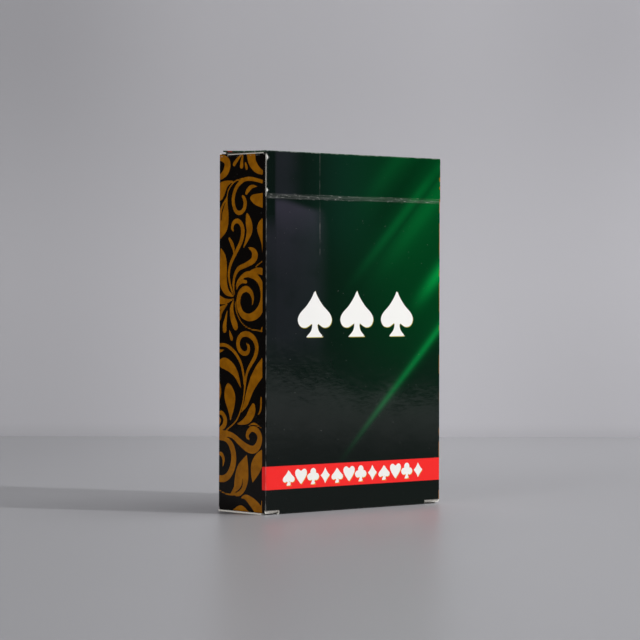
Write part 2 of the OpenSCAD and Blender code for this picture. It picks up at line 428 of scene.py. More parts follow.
    veins: tuple[Stroke, ...] = (
        ((9.7, 6.9, 0.2), (9.3, 4.9, 0.4), (8, 3.7, 0.4), (6.4, 3, 0.2)),
        ((2.5, 77.6, 0.2), (1.3, 75.4, 0.4), (0.9, 73, 0.25)),
    )

    def reach(self, s: Array, z: Array) -> Array:
        """Measure how far points lie inside the ornament.

        Args:
            s: Places from the back fold.
            z: Places from the floor.

        Returns:
            Distance to the nearest edge of gold, above zero inside it.
        """
        z = z - self.rise
        found = np.full(s.shape, FAR_OUT)
        for stroke in self.strokes:
            found = np.maximum(found, self.stroke_reach(stroke, s, z))
        for vein in self.veins:
            found = np.minimum(found, -self.stroke_reach(vein, s, z))
        return np.minimum(found, np.minimum(s - self.margin[0], self.margin[1] - s))

    @staticmethod
    def stroke_reach(stroke: Stroke, s: Array, z: Array) -> Array:
        """Measure how far points lie inside one tapered stroke.

        Args:
            stroke: Points and widths of the stroke.
            s: Places from the back fold.
            z: Places from the floor.

        Returns:
            Distance to the stroke's edge, above zero inside it.
        """
        path = rounded_path(np.array(stroke, float), closed=False, steps=6)
        low, high = path[:, :2].min(0) - 4, path[:, :2].max(0) + 4
        found = np.full(s.shape, FAR_OUT)
        near = (s > low[0]) & (s < high[0]) & (z > low[1]) & (z < high[1])
        ps, pz, best = s[near], z[near], found[near]
        for (a_s, a_z, a_w), (b_s, b_z, b_w) in zip(path, path[1:]):
            run_s, run_z = b_s - a_s, b_z - a_z
            length = max(run_s ** 2 + run_z ** 2, 1e-12)
            share = np.clip(((ps - a_s) * run_s + (pz - a_z) * run_z) / length, 0, 1)
            gap = np.hypot(ps - a_s - share * run_s, pz - a_z - share * run_z)
            best = np.maximum(best, (a_w + share * (b_w - a_w)) / 2 - gap)
        found[near] = best
        return found


@dataclass
class PrintMap:
    """What is printed at each point of a sheet: one row for each point."""

    ink: Array
    gold: Array
    white: Array
    red: Array
    yellow: Array
    # Painted reflection, not print: a pale purple glow over the front's upper left.
    painted_purple_reflection: Array
    rub_line: Array

    @classmethod
    def plain(cls, count: int, colour: str) -> "PrintMap":
        """Make a map of one ground colour with no marks on it.

        Args:
            count: How many points it has.
            colour: The ground colour.

        Returns:
            The new map.
        """
        ground = np.tile(np.array(linear(colour)[:3]), (count, 1))
        marks = [np.full(count, FAR_OUT) for _ in range(4)]
        return cls(ground, *marks, np.zeros(count), np.full(count, -FAR_OUT))

    def fill(self, where: Array, other: "PrintMap") -> None:
        """Take over another map's rows where the mask says so."""
        for field in fields(self):
            getattr(self, field.name)[where] = getattr(other, field.name)[where]


@dataclass(frozen=True)
class PrintDesign:
    """The printed design: beams of green over black in front, gold scrolls on black at the sides.

    A row of beams holds a beam's strength, its place across the slant, its half width, and where along the slant
    it begins and where it is full. A beam below zero is a dark gap between two others.
    """

    sizes: BoxSizes
    scroll: ScrollOrnament = ScrollOrnament()
    pips: Pips = Pips()
    side_black: str = "#0d0a08"
    under_black: str = "#0b1210"
    board_white: str = "#e9e6dd"
    front_black: tuple[float, float, float] = (11.0, 19.0, 17.0)
    front_green: tuple[float, float, float] = (0.0, 60.0, 25.0)
    ray_green: tuple[float, float, float] = (2.0, 60.0, 26.0)
    # Tone of a painted reflection over the front's upper middle.
    film_haze_and_painted_reflection: tuple[float, float, float] = (2.0, 8.0, 8.0)
    beams: tuple[tuple[float, float, float, float, float], ...] = (
        (0.33, -22.0, 3.6, 84, 132), (0.24, -45.5, 3.6, 104, 128), (1.3, -0.5, 3.2, 96, 122),
        (0.16, 13.4, 3.0, 56, 104), (-0.16, -26.4, 0.9, 96, 126), (-0.12, -36.5, 3.0, 96, 128))
    band: tuple[float, float] = (5.15, 11.08)
    band_wrap: float = 1.4
    big_pips: tuple[float, ...] = (16.2, 30.6, 44.8)
    big_pip_z: float = 49.9
    big_pip_h: float = 12.2
    small_pips: tuple[float, float, int] = (7.6, 52.6, 12)
    small_pip_h: float = 4.2
    plate_shift: tuple[float, float] = (0.1, -0.14)
    right_shift: float = 1.8
    pale_crease_line_x: float = 17.9
    lid_z: float = 80.0

    def plate_z(self, z: Array) -> Array:
        """Height on the printing plate, which is drawn a little smaller than the printed sheet."""
        return 60.0 + 1.0162 * (z - 60.2)

    def front_ground(self, x: Array, z: Array) -> Array:
        """Mix the front's ground: green rises to the right and slants across in beams.
        The black darkens towards the floor as painted shade, and a pale painted reflection lies over the middle of
        the upper half.

        Args:
            x: Places from the front's left fold.
            z: Places from the floor.

        Returns:
            Linear colour, one row for each point.
        """
        across, along = x - z, x + z
        green = ease(2, 66, x) * (0.12 + 0.88 * ease(14, 56, z)) * (1 - 0.4 * ease(15, 20, across))
        rays = np.zeros(x.shape)
        for strength, at, half_width, begins, full in self.beams:
            rays += strength * bell(across - at, half_width) * ease(begins, full, along)
        # The upper beam dims again towards the corner of the lid.
        rays += 0.3 * bell(across + 29.2, 2.1) * ease(76, 110, along) * (1 - 0.7 * ease(134, 146, along))
        # A broad veil joins the upper beams.
        rays += 0.17 * ease(-32, -29, across) * ease(-4, -22, across) * ease(80, 120, along)
        # The low streak bends a little and widens on its way up.
        streak = across - 13.6 - 0.9 * ease(50, 104, along)
        rays += bell(streak, 1.25 + 0.35 * ease(40, 108, along)) * ease(28, 70, along)
        black, deep, beam = (np.array(c) for c in (self.front_black, self.front_green, self.ray_green))
        # Painted shade: the black darkens towards the floor.
        tone = black * (0.55 + 0.45 * ease(10, 34, z))[:, None]
        tone += (deep - black) * (0.05 + 0.95 * green)[:, None] + beam * rays[:, None]
        # Painted reflection: a pale blue-green glow over the middle of the upper front.
        tone += np.array(self.film_haze_and_painted_reflection) * (bell(x - 26, 11) * ease(56, 76, z))[:, None]
        share = np.clip(tone, 0, 255) / 255
        return np.where(share <= 0.04045, share / 12.92, ((share + 0.055) / 1.055) ** 2.4)

    def add_pip(self, made: PrintMap, suit: Suit, x: Array, z: Array, height: float) -> None:
        """Print a white pip, with its yellow plate a little off its place.

        Args:
            made: The map that takes the pip.
            suit: Which pip.
            x: Places across, from the pip's middle.
            z: Places up, from the pip's middle.
            height: Height of the pip.
        """
        near = (np.abs(x) < height) & (np.abs(z) < height)
        for plate, (off_x, off_z) in ((made.white, (0.0, 0.0)), (made.yellow, self.plate_shift)):
            reach = self.pips.reach(suit, x[near] - off_x, z[near] - off_z, height)
            plate[near] = np.maximum(plate[near], reach)

    def front(self, x: Array, z: Array, small_marks: bool) -> PrintMap:
        """Print the front or the back.

        Args:
            x: Places from the panel's left fold.
            z: Places from the floor.
            small_marks: Whether the band carries its row of small pips.

        Returns:
            The printed map.
        """
        made = PrintMap.plain(x.size, self.under_black)
        z = self.plate_z(z)
        made.ink = self.front_ground(x, z)
        made.red = np.minimum(z - self.band[0], self.band[1] - z)
        for middle in self.big_pips:
            self.add_pip(made, Suit.SPADE, x - middle, z - self.big_pip_z, self.big_pip_h)
        if small_marks:
            for middle, suit in zip(np.linspace(*self.small_pips), cycle(Suit)):
                self.add_pip(made, suit, x - middle, z - sum(self.band) / 2, self.small_pip_h)
        # A pale dashed line runs down the faint upright crease in the upper front.
        made.rub_line = np.abs(x - self.pale_crease_line_x) + 9 * ease(66, 52, z)
        past_fold = self.sizes.depth + self.sizes.width - x - self.right_shift
        made.gold = np.where(x > self.sizes.width - 1, self.scroll.reach(past_fold, z), FAR_OUT)
        # Painted reflection: a pale purple glow on the film's left, most of all just under the lid.
        from_fold = ease(2.6, 3.4, x)
        pale_specks_and_painted_reflection = np.interp(z, (36, 44, 60, 69, 77), (0, 0.3, 0.38, 0.52, 1))
        lag = 0.4 + 2.3 * ease(4, 17, x)
        below_lid = np.maximum(from_fold, 0.85 * ease(76, 68, z)) * pale_specks_and_painted_reflection
        below_lid *= ease(22, 15.5, x + 1.5 * ease(70, 78, z)) * ease(80.3 - lag, 78.2 - lag, z)
        made.painted_purple_reflection = np.where(z > self.lid_z, 0.36 * from_fold * ease(13, 6, x), below_lid)
        return made

    def side(self, s: Array, z: Array) -> PrintMap:
        """Print a side.

        Args:
            s: Places from the back fold.
            z: Places from the floor.

        Returns:
            The printed map.
        """
        made = PrintMap.plain(s.size, self.side_black)
        z = self.plate_z(z)
        made.gold = self.scroll.reach(s, z)
        near_front = s - (self.sizes.depth - self.band_wrap)
        made.red = np.minimum(near_front, np.minimum(z - self.band[0], self.band[1] - z))
        return made


@dataclass
class BoardSheet:
    """A cut sheet of board with a fine printed face, a coarser bare face and cut edges between them.

    A cell is board where its middle lies in one of the cuts. Their borders lie on lines of the net.
    """

    name: str
    us: Array
    vs: Array
    cuts: tuple[Rect, ...]
    place: Callable[[Array, Array], tuple[Array, Array]]
    thickness: float
    coarse: int = 4
    narrow_gap: float = 0.15
    wide_gap: float = 0.6

    def kept_lines(self, lines_at: Array, borders: set[float]) -> Array:
        """Choose the lines that the bare face also has.

        Args:
            lines_at: All lines in one direction.
            borders: Where cuts begin and end.

        Returns:
            Indices of the kept lines.
        """
        needed = {int(np.argmin(np.abs(lines_at - b))) for b in borders} | {0, len(lines_at) - 1}
        gaps = np.diff(lines_at, prepend=lines_at[0])
        kept, last = [], 0
        for i in range(len(lines_at)):
            if i in needed or i - last >= self.coarse or not self.narrow_gap <= gaps[i] <= self.wide_gap:
                kept.append(i)
                last = i
        return np.array(kept)

    def build(self, materials: tuple[bpy.types.Material, ...]) -> tuple[bpy.types.Object, Array, Array]:
        """Make the sheet's mesh.

        Args:
            materials: Finishes of the printed face, the bare face and the cut edges.

        Returns:
            The object, and the net coordinates of its points.
        """
        mid_u, mid_v = (self.us[1:] + self.us[:-1]) / 2, (self.vs[1:] + self.vs[:-1]) / 2
        cells = np.zeros((len(mid_v), len(mid_u)), bool)
        for u0, u1, v0, v1 in self.cuts:
            cells |= ((mid_v > v0) & (mid_v < v1))[:, None] & ((mid_u > u0) & (mid_u < u1))[None, :]
        iu = self.kept_lines(self.us, {e for c in self.cuts for e in c[:2]})
        jv = self.kept_lines(self.vs, {e for c in self.cuts for e in c[2:]})
        blocks = cells[np.ix_(jv[:-1], iu[:-1])]
        fine, coarse = self.corners(cells), self.corners(blocks)
        outer = np.full(fine.shape, -1)
        outer[fine] = np.arange(fine.sum())
        inner = np.full(coarse.shape, -1)
        inner[coarse] = fine.sum() + np.arange(coarse.sum())
        grid_u, grid_v = np.meshgrid(self.us, self.vs)
        net_u = np.concatenate([grid_u[fine], grid_u[np.ix_(jv, iu)][coarse]])
        net_v = np.concatenate([grid_v[fine], grid_v[np.ix_(jv, iu)][coarse]])
        points, normals = self.place(net_u, net_v)
        points[fine.sum():] -= self.thickness * normals[fine.sum():]
        front = self.quads(outer, cells)
        back = self.quads(inner, blocks)[:, ::-1]
        rims = self.rims(outer, inner, blocks, iu, jv)
        faces = front.tolist() + back.tolist() + rims
        slots = [0] * len(front) + [1] * len(back) + [2] * len(rims)
        return finished_mesh(self.name, points, faces, slots, materials), net_u, net_v

    @staticmethod
    def corners(cells: Array) -> Array:
        """Mark the corners that belong to any marked cell."""
        padded = np.pad(cells, 1)
        return padded[1:, 1:] | padded[:-1, 1:] | padded[1:, :-1] | padded[:-1, :-1]

    @staticmethod
    def quads(ids: Array, cells: Array) -> Array:
        """List the four corners of each marked cell."""
        loops = np.stack([ids[:-1, :-1], ids[:-1, 1:], ids[1:, 1:], ids[1:, :-1]], -1)
        return loops[cells]

    @staticmethod
    def rims(outer: Array, inner: Array, blocks: Array, iu: Array, jv: Array) -> list[list[int]]:
        """Close the sheet along its cut edges.

        Args:
            outer: Point of the printed face at each fine corner.
            inner: Point of the bare face at each coarse corner.
            blocks: Which coarse cells are board.
            iu: Fine lines in u that the bare face has.
            jv: Fine lines in v that the bare face has.

        Returns:
            The corner points of each face.
        """
        ringed = np.pad(blocks, 1)
        found = []
        for b, a in np.argwhere(blocks):
            i0, i1, j0, j1 = iu[a], iu[a + 1], jv[b], jv[b + 1]
            if not ringed[b, a + 1]:
                found.append([*outer[j0, i0:i1 + 1][::-1], inner[b, a], inner[b, a + 1]])
            if not ringed[b + 2, a + 1]:
                found.append([*outer[j1, i0:i1 + 1], inner[b + 1, a + 1], inner[b + 1, a]])
            if not ringed[b + 1, a]:
                found.append([*outer[j0:j1 + 1, i0], inner[b + 1, a], inner[b, a]])
            if not ringed[b + 1, a + 2]:
                found.append([*outer[j0:j1 + 1, i1][::-1], inner[b, a + 1], inner[b + 1, a + 1]])
        return [[int(k) for k in face] for face in found]


def finished_mesh(name: str, points: Array, faces: list, slots: list[int],
                  materials: tuple[bpy.types.Material, ...], sharp_deg: float = 40.0) -> bpy.types.Object:
    """Turn points in millimetres and faces into a smooth-shaded object with sharp cut edges.

    Args:
        name: Name of the piece.
        points: One row for each point.
        faces: Corner points of each face.
        slots: Material slot of each face.
        materials: The slots' materials.
        sharp_deg: Least angle of an edge that is shaded sharp.

    Returns:
        The new object, linked to the scene.
    """
    mesh = bpy.data.meshes.new(name)
    mesh.from_pydata((points * MM).tolist(), [], faces)
    for material in materials:
        mesh.materials.append(material)
    mesh.polygons.foreach_set("material_index", np.array(slots, np.int32))
    mesh.polygons.foreach_set("use_smooth", np.ones(len(faces), bool))
    mesh.update()
    mesh.set_sharp_from_angle(angle=math.radians(sharp_deg))
    piece = bpy.data.objects.new(name, mesh)
    bpy.context.scene.collection.objects.link(piece)
    return piece


def store(piece: bpy.types.Object, name: str, *columns: Array) -> None:
    """Keep three numbers at each point of a piece for its finish to read."""
    attribute = piece.data.attributes.new(name, "FLOAT_VECTOR", "POINT")
    attribute.data.foreach_set("vector", np.stack(columns, -1).astype(np.float32).ravel())


def dress(piece: bpy.types.Object, u: Array, v: Array, printed: PrintMap, fold: Array, crease: Array,
          cut: Array) -> None:
    """Keep a sheet's print and wear at its points.

    Args:
        piece: The sheet's object.
        u: Net coordinate along the panels.
        v: Net coordinate up.
        printed: What is printed there.
        fold: Distance to the nearest fold.
        crease: Height above the lid's crease.
        cut: Distance to the nearest cut edge.
    """
    store(piece, "net_mm", u, v, np.zeros_like(u))
    store(piece, "ink", *printed.ink.T)
    store(piece, "marks_mm", printed.gold, printed.white, printed.red)
    store(piece, "wear_mm", fold, crease, cut)
    store(piece, "trace", printed.yellow, printed.painted_purple_reflection, printed.rub_line)


def new_material(name: str) -> tuple[bpy.types.Material, bpy.types.NodeTree]:
    """Make an empty material.

    Args:
        name: Its name.

    Returns:
        The material and its node tree.
    """
    made = bpy.data.materials.new(name)
    made.use_nodes = True
    made.node_tree.nodes.clear()
    return made, made.node_tree


@dataclass(frozen=True)
class GlossFilmBoard:
    """White-lined board, offset printed and laminated with a clear gloss film.

    A row of grains holds a noise's name, its period along u and along v in millimetres, and its finer octaves. A row
    of masks holds a name, the value that it follows, where it is 0, where it is full, and how much full is. A row of
    sums holds a name, an operation and its terms.
    """

    # To the eye, the film mirrors softly over flat ink. Handling has left it rougher in patches, and the white lining
    # shows where a fold or a cut has cracked the print. A pale purple glow over the front's upper left is a painted
    # reflection in its colour. The film's own grain is finer than a tenth of a millimetre and is drawn coarser here,
    # so that it breaks up the mirror image in the render.
    name: str = "gloss_film_over_offset_print"
    gold: str = "#a2660a"
    gold_dark: str = "#8f5807"
    white: str = "#f7f6f2"
    red: str = "#fb2c2a"
    fringe: str = "#d8c832"
    lining: str = "#d9d8d2"
    # Colour of the painted reflection over the front's upper left.
    painted_purple_reflection: str = "#a090b4"
    ior: float = 1.45
    specular: float = 0.22
    roughness: float = 0.07
    grain_depth_mm: float = 0.006
    wave_depth_mm: float = 0.03
    stored: tuple[tuple[str, tuple[str, str, str]], ...] = (
        ("marks_mm", ("gold_mm", "white_mm", "red_mm")), ("wear_mm", ("fold_mm", "crease_mm", "cut_mm")),
        ("trace", ("yellow_mm", "painted_purple_reflection", "line_mm")))
    grains: tuple[tuple[str, float, float, float], ...] = (
        ("mottle", 2.6, 2.6, 3), ("cloud", 9.0, 9.0, 2), ("speck", 0.96, 0.6, 2), ("dash", 2.0, 2.0, 3),
        ("fold_crack", 1.1, 2.64, 4), ("cut_crack", 0.8, 0.8, 4), ("crease_hair", 8.0, 0.3, 4),
        ("crease_patch", 9.8, 63.0, 2), ("crease_flake", 1.54, 0.28, 5), ("film_haze_and_painted_reflection", 3.5, 3.5, 4),
        ("film_grain", 1.98, 0.9, 2), ("film_wave", 7.0, 7.0, 2))
    masks: tuple[tuple[str, str, float, float, float], ...] = (
        ("gold_light", "mottle", 0.35, 0.65, 1), ("gold", "gold_mm", -0.07, 0.07, 1),
        ("red", "red_mm", -0.07, 0.07, 1), ("fringe", "yellow_mm", -0.07, 0.07, 0.75),
        ("white", "white_mm", -0.07, 0.07, 1), ("purple_reflection_share", "cloud", -0.1, 0.6, 1),
        ("specks", "speck", 0.72, 0.79, 0.15), ("line", "line_mm", 0.3, 0.05, 1), ("dashes", "dash", 0.3, 0.7, 0.09),
        ("fold", "fold_mm", 0.26, 0.05, 1), ("fold_cracks", "fold_crack", 0.4, 0.66, 0.2),
        ("cut", "cut_mm", 0.22, 0.04, 1), ("cut_cracks", "cut_crack", 0.5, 0.7, 0.4),
        ("chips", "cut_mm", -0.1, -0.4, 0.95), ("crease", "height", 0.8, 0.3, 1),
        ("hairs", "crease_hair", 0.38, 0.66, 1), ("by_crease", "height", 0.9, 0.2, 1),
        ("patches", "crease_patch", 0.32, 0.62, 1), ("flakes", "crease_flake", 0.55, 0.7, 0.45))
    sums: tuple[tuple[str, str, tuple[str | float, ...]], ...] = (
        ("purple_reflection_share", "MULTIPLY", ("painted_purple_reflection", "purple_reflection_share")), ("purple_reflection_share", "MULTIPLY", ("purple_reflection_share", 0.074)),
        ("dashes", "MULTIPLY", ("line", "dashes")), ("pale_specks_and_painted_reflection", "MAXIMUM", ("specks", "dashes")),
        ("fold", "MULTIPLY", ("fold", "fold_cracks")),
        ("cut", "MULTIPLY", ("cut", "cut_cracks")), ("cut", "MAXIMUM", ("cut", "chips")),
        ("hairs", "MULTIPLY_ADD", ("hairs", 0.075, 0.012)), ("crease", "MULTIPLY", ("crease", "hairs")),
        ("patches", "MULTIPLY", ("by_crease", "patches")), ("flakes", "MULTIPLY", ("patches", "flakes")),
        ("crease", "MAXIMUM", ("crease", "flakes")), ("worn", "MAXIMUM", ("fold", "cut")),
        ("worn", "MAXIMUM", ("worn", "crease")), ("film_haze_and_painted_reflection", "MULTIPLY_ADD", ("film_haze_and_painted_reflection", 0.04, "roughness")),
        ("rough", "MULTIPLY_ADD", ("worn", 0.6, "film_haze_and_painted_reflection")))

    def material(self) -> bpy.types.Material:
        """Build the finish.

        Returns:
            The material.
        """
        made, tree = new_material(self.name)
        net, colour = (add_node(tree, "ShaderNodeAttribute", {"attribute_name": row}).outputs["Vector"]
                       for row in ("net_mm", "ink"))
        value: dict[str | float, object] = {"roughness": self.roughness}
        for row, names in self.stored:
            read = add_node(tree, "ShaderNodeAttribute", {"attribute_name": row}).outputs["Vector"]
            value.update(zip(names, add_node(tree, "ShaderNodeSeparateXYZ", None, {0: read}).outputs))
        value["height"] = add_node(tree, "ShaderNodeMath", {"operation": "ABSOLUTE"},
                                   {0: value["crease_mm"]}).outputs[0]
        for name, along_u, along_v, octaves in self.grains:
            laid = add_node(tree, "ShaderNodeVectorMath", {"operation": "MULTIPLY"},
                            {0: net, 1: (1 / along_u, 1 / along_v, 1.0)}).outputs[0]
            value[name] = add_node(tree, "ShaderNodeTexNoise", None, {
                "Vector": laid, "Scale": 1.0, "Detail": octaves, "Roughness": 0.55}).outputs["Fac"]
        for name, followed, none, full, most in self.masks:
            value[name] = add_node(tree, "ShaderNodeMapRange", {"interpolation_type": "SMOOTHSTEP"}, {
                "Value": value[followed], "From Min": none, "From Max": full, "To Max": most}).outputs[0]
        for name, operation, terms in self.sums:
            value[name] = add_node(tree, "ShaderNodeMath", {"operation": operation},
                                   {i: value.get(term, term) for i, term in enumerate(terms)}).outputs[0]
        gold = add_node(tree, "ShaderNodeMix", {"data_type": "RGBA"}, {
            0: value["gold_light"], 6: linear(self.gold_dark), 7: linear(self.gold)}).outputs[2]
        layers = (("gold", gold), ("red", linear(self.red)), ("fringe", linear(self.fringe)),
                  ("white", linear(self.white)), ("purple_reflection_share", linear(self.painted_purple_reflection)), ("pale_specks_and_painted_reflection", linear(self.lining)),
                  ("worn", linear(self.lining)))
        for mask, laid_over in layers:
            colour = add_node(tree, "ShaderNodeMix", {"data_type": "RGBA"},
                              {0: value[mask], 6: colour, 7: laid_over}).outputs[2]
        grain = add_node(tree, "ShaderNodeBump", None, {
            "Strength": 1.0, "Distance": self.grain_depth_mm * MM, "Height": value["film_grain"]}).outputs[0]
        wave = add_node(tree, "ShaderNodeBump", None, {
            "Strength": 1.0, "Distance": self.wave_depth_mm * MM, "Height": value["film_wave"],
            "Normal": grain}).outputs[0]
        surface = add_node(tree, "ShaderNodeBsdfPrincipled", None, {
            "Base Color": colour, "Roughness": value["rough"], "IOR": self.ior,
            "Specular IOR Level": self.specular, "Normal": wave})
        add_node(tree, "ShaderNodeOutputMaterial", None, {"Surface": surface.outputs[0]})
        return made


@dataclass(frozen=True)
class PulpBoard:
    """Uncoated pulp board, as pressed on the machine or as the die has cut it."""

    # To the eye it is dull and slightly warm, with short darker fibres. Real fibres are some hundredths of a
    # millimetre thick and are drawn coarser, so that they show.
    name: str
    colour: str = "#dedad0"
    fibre: str = "#c9c4b8"
    roughness: float = 0.9
    fibre_mm: float = 0.5
    fibre_length: float = 2.5
    fibre_depth_mm: float = 0.03

    def material(self) -> bpy.types.Material:
        """Build the finish.

        Returns:
            The material.
        """
        made, tree = new_material(self.name)
        place = add_node(tree, "ShaderNodeTexCoord").outputs["Object"]
        period = self.fibre_mm * MM
        laid = add_node(tree, "ShaderNodeVectorMath", {"operation": "MULTIPLY"}, {
            0: place, 1: (1 / period, 1 / period, 1 / (period * self.fibre_length))}).outputs[0]
        fibres = add_node(tree, "ShaderNodeTexNoise", None, {
            "Vector": laid, "Scale": 1.0, "Detail": 5.0, "Roughness": 0.65}).outputs["Fac"]
        share = add_node(tree, "ShaderNodeMapRange", None, {
            "Value": fibres, "From Min": 0.4, "From Max": 0.75}).outputs[0]
        colour = add_node(tree, "ShaderNodeMix", {"data_type": "RGBA"}, {
            0: share, 6: linear(self.colour), 7: linear(self.fibre)}).outputs[2]
        bump = add_node(tree, "ShaderNodeBump", None, {
            "Strength": 0.3, "Distance": self.fibre_depth_mm * MM, "Height": fibres}).outputs[0]
        surface = add_node(tree, "ShaderNodeBsdfPrincipled", None, {
            "Base Color": colour, "Roughness": self.roughness, "IOR": 1.45, "Normal": bump})
        add_node(tree, "ShaderNodeOutputMaterial", None, {"Surface": surface.outputs[0]})
        return made


@dataclass(frozen=True)
class CardStock:
    """Clay-coated card stock, printed, varnished and pressed with a linen texture."""

    # To the eye it is off-white and satin, with a soft broken shine. Linen is pressed about three threads to the
    # millimetre and is drawn coarser, so that it shows.
    name: str
    colour: str = "#f1efe8"
    ink: str = "#14120f"
    back: str = "#9c1c22"
    roughness: float = 0.42
    linen_mm: float = 0.6
    linen_depth_mm: float = 0.02
    lattice_mm: float = 3.2
    bar_from: float = 0.72
    print_edge_mm: float = 0.05

    def material(self) -> bpy.types.Material:
        """Build the finish.

        Returns:
            The material.
        """
        made, tree = new_material(self.name)
        net, marks = (add_node(tree, "ShaderNodeAttribute", {"attribute_name": row}).outputs["Vector"]
                      for row in ("net_mm", "marks_mm"))
        pip_mm, back_mm, _ = add_node(tree, "ShaderNodeSeparateXYZ", None, {0: marks}).outputs
        turned = add_node(tree, "ShaderNodeVectorRotate", {"rotation_type": "Z_AXIS"}, {
            "Vector": net, "Angle": math.radians(45)}).outputs[0]
        bars = []
        for direction in ("X", "Y"):
            wave = add_node(tree, "ShaderNodeTexWave", {"bands_direction": direction}, {
                "Vector": turned, "Scale": math.pi / 10 / self.lattice_mm, "Distortion": 0.0}).outputs["Fac"]
            bars.append(add_node(tree, "ShaderNodeMath", {"operation": "GREATER_THAN"},
                                 {0: wave, 1: self.bar_from}).outputs[0])
        lattice = add_node(tree, "ShaderNodeMath", {"operation": "MAXIMUM"}, {0: bars[0], 1: bars[1]}).outputs[0]
        printed = add_node(tree, "ShaderNodeMix", {"data_type": "RGBA"}, {
            0: lattice, 6: linear(self.back), 7: linear(self.colour)}).outputs[2]
        colour = linear(self.colour)
        for reach, laid_over in ((back_mm, printed), (pip_mm, linear(self.ink))):
            share = add_node(tree, "ShaderNodeMapRange", None, {
                "Value": reach, "From Min": -self.print_edge_mm, "From Max": self.print_edge_mm}).outputs[0]
            colour = add_node(tree, "ShaderNodeMix", {"data_type": "RGBA"},
                              {0: share, 6: colour, 7: laid_over}).outputs[2]
        laid = add_node(tree, "ShaderNodeVectorMath", {"operation": "SCALE"},
                        {0: net, "Scale": 1 / self.linen_mm}).outputs[0]
        linen = add_node(tree, "ShaderNodeTexNoise", None, {
            "Vector": laid, "Scale": 1.0, "Detail": 2.0}).outputs["Fac"]
        bump = add_node(tree, "ShaderNodeBump", None, {
            "Strength": 0.15, "Distance": self.linen_depth_mm * MM, "Height": linen}).outputs[0]
        surface = add_node(tree, "ShaderNodeBsdfPrincipled", None, {
            "Base Color": colour, "Roughness": self.roughness, "IOR": 1.5, "Normal": bump})
        add_node(tree, "ShaderNodeOutputMaterial", None, {"Surface": surface.outputs[0]})
        return made


@dataclass
class BoxShape:
    """How far the board stands off its flat panels: slight bulges, the lid's crease and a faint upright crease."""

    sizes: BoxSizes
    front_bulge: float = 0.12
    side_bulge: float = 0.08
    crease_ridge: float = 0.1
    crease_half_width: float = 0.45
    crease_drop: float = 0.35
    upright_crease_x: float = 17.9
    upright_crease_depth: float = 0.03
    upright_crease_half_width: float = 0.3
    lid_gape: float = 0.6

    def front(self, x: Array, z: Array) -> Array:
        """Find how far the front stands off.

        Args:
            x: Places from the front's left fold.
            z: Places from the floor.

        Returns:
            Stand-off at each place.
        """
        k = self.sizes
        across = 1 - (2 * np.clip(x, 0, k.width) / k.width - 1) ** 2
        upward = 1 - (2 * np.clip(z, 0, k.crease_z) / k.crease_z - 1) ** 4
        wave = 0.012 * np.sin(0.31 * x + 1.3) * np.sin(0.19 * z + 0.4) + 0.008 * np.sin(0.5 * x - 0.23 * z + 2)
        uneven = 0.75 + 0.25 * np.sin(0.9 * x + 0.5 * np.sin(x))
        ridge = self.crease_ridge * bell(z - k.crease_z + self.crease_drop, self.crease_half_width) * uneven
        groove = bell(x - self.upright_crease_x, self.upright_crease_half_width) * ease(48, 66, z)
        lines_off = (ridge - self.upright_crease_depth * groove) * ease(0, 0.1, across)
        return (self.front_bulge * upward + wave) * np.clip(across, 0, 1) + lines_off

    def panel(self, x: Array, z: Array, width: float, bulge: float) -> Array:
        """Stand-off of a side or the back.

        Args:
            x: Places from the panel's left fold.
            z: Places from the floor.
            width: Width of the panel.
            bulge: Stand-off at its middle.

        Returns:
            Stand-off at each place.
        """
        across = np.clip(1 - (2 * x / width - 1) ** 2, 0, 1)
        upward = np.clip(1 - (2 * np.clip(z, 0, self.sizes.top_z) / self.sizes.top_z - 1) ** 4, 0, 1)
        return bulge * across * upward

    def lid_lift(self, y: Array) -> Array:
        """How far the lid stands up off the box towards its back."""
        share = np.clip((y - self.sizes.front_y - 1) / (self.sizes.depth - 1), 0, 1)
        return self.lid_gape * share ** 1.6


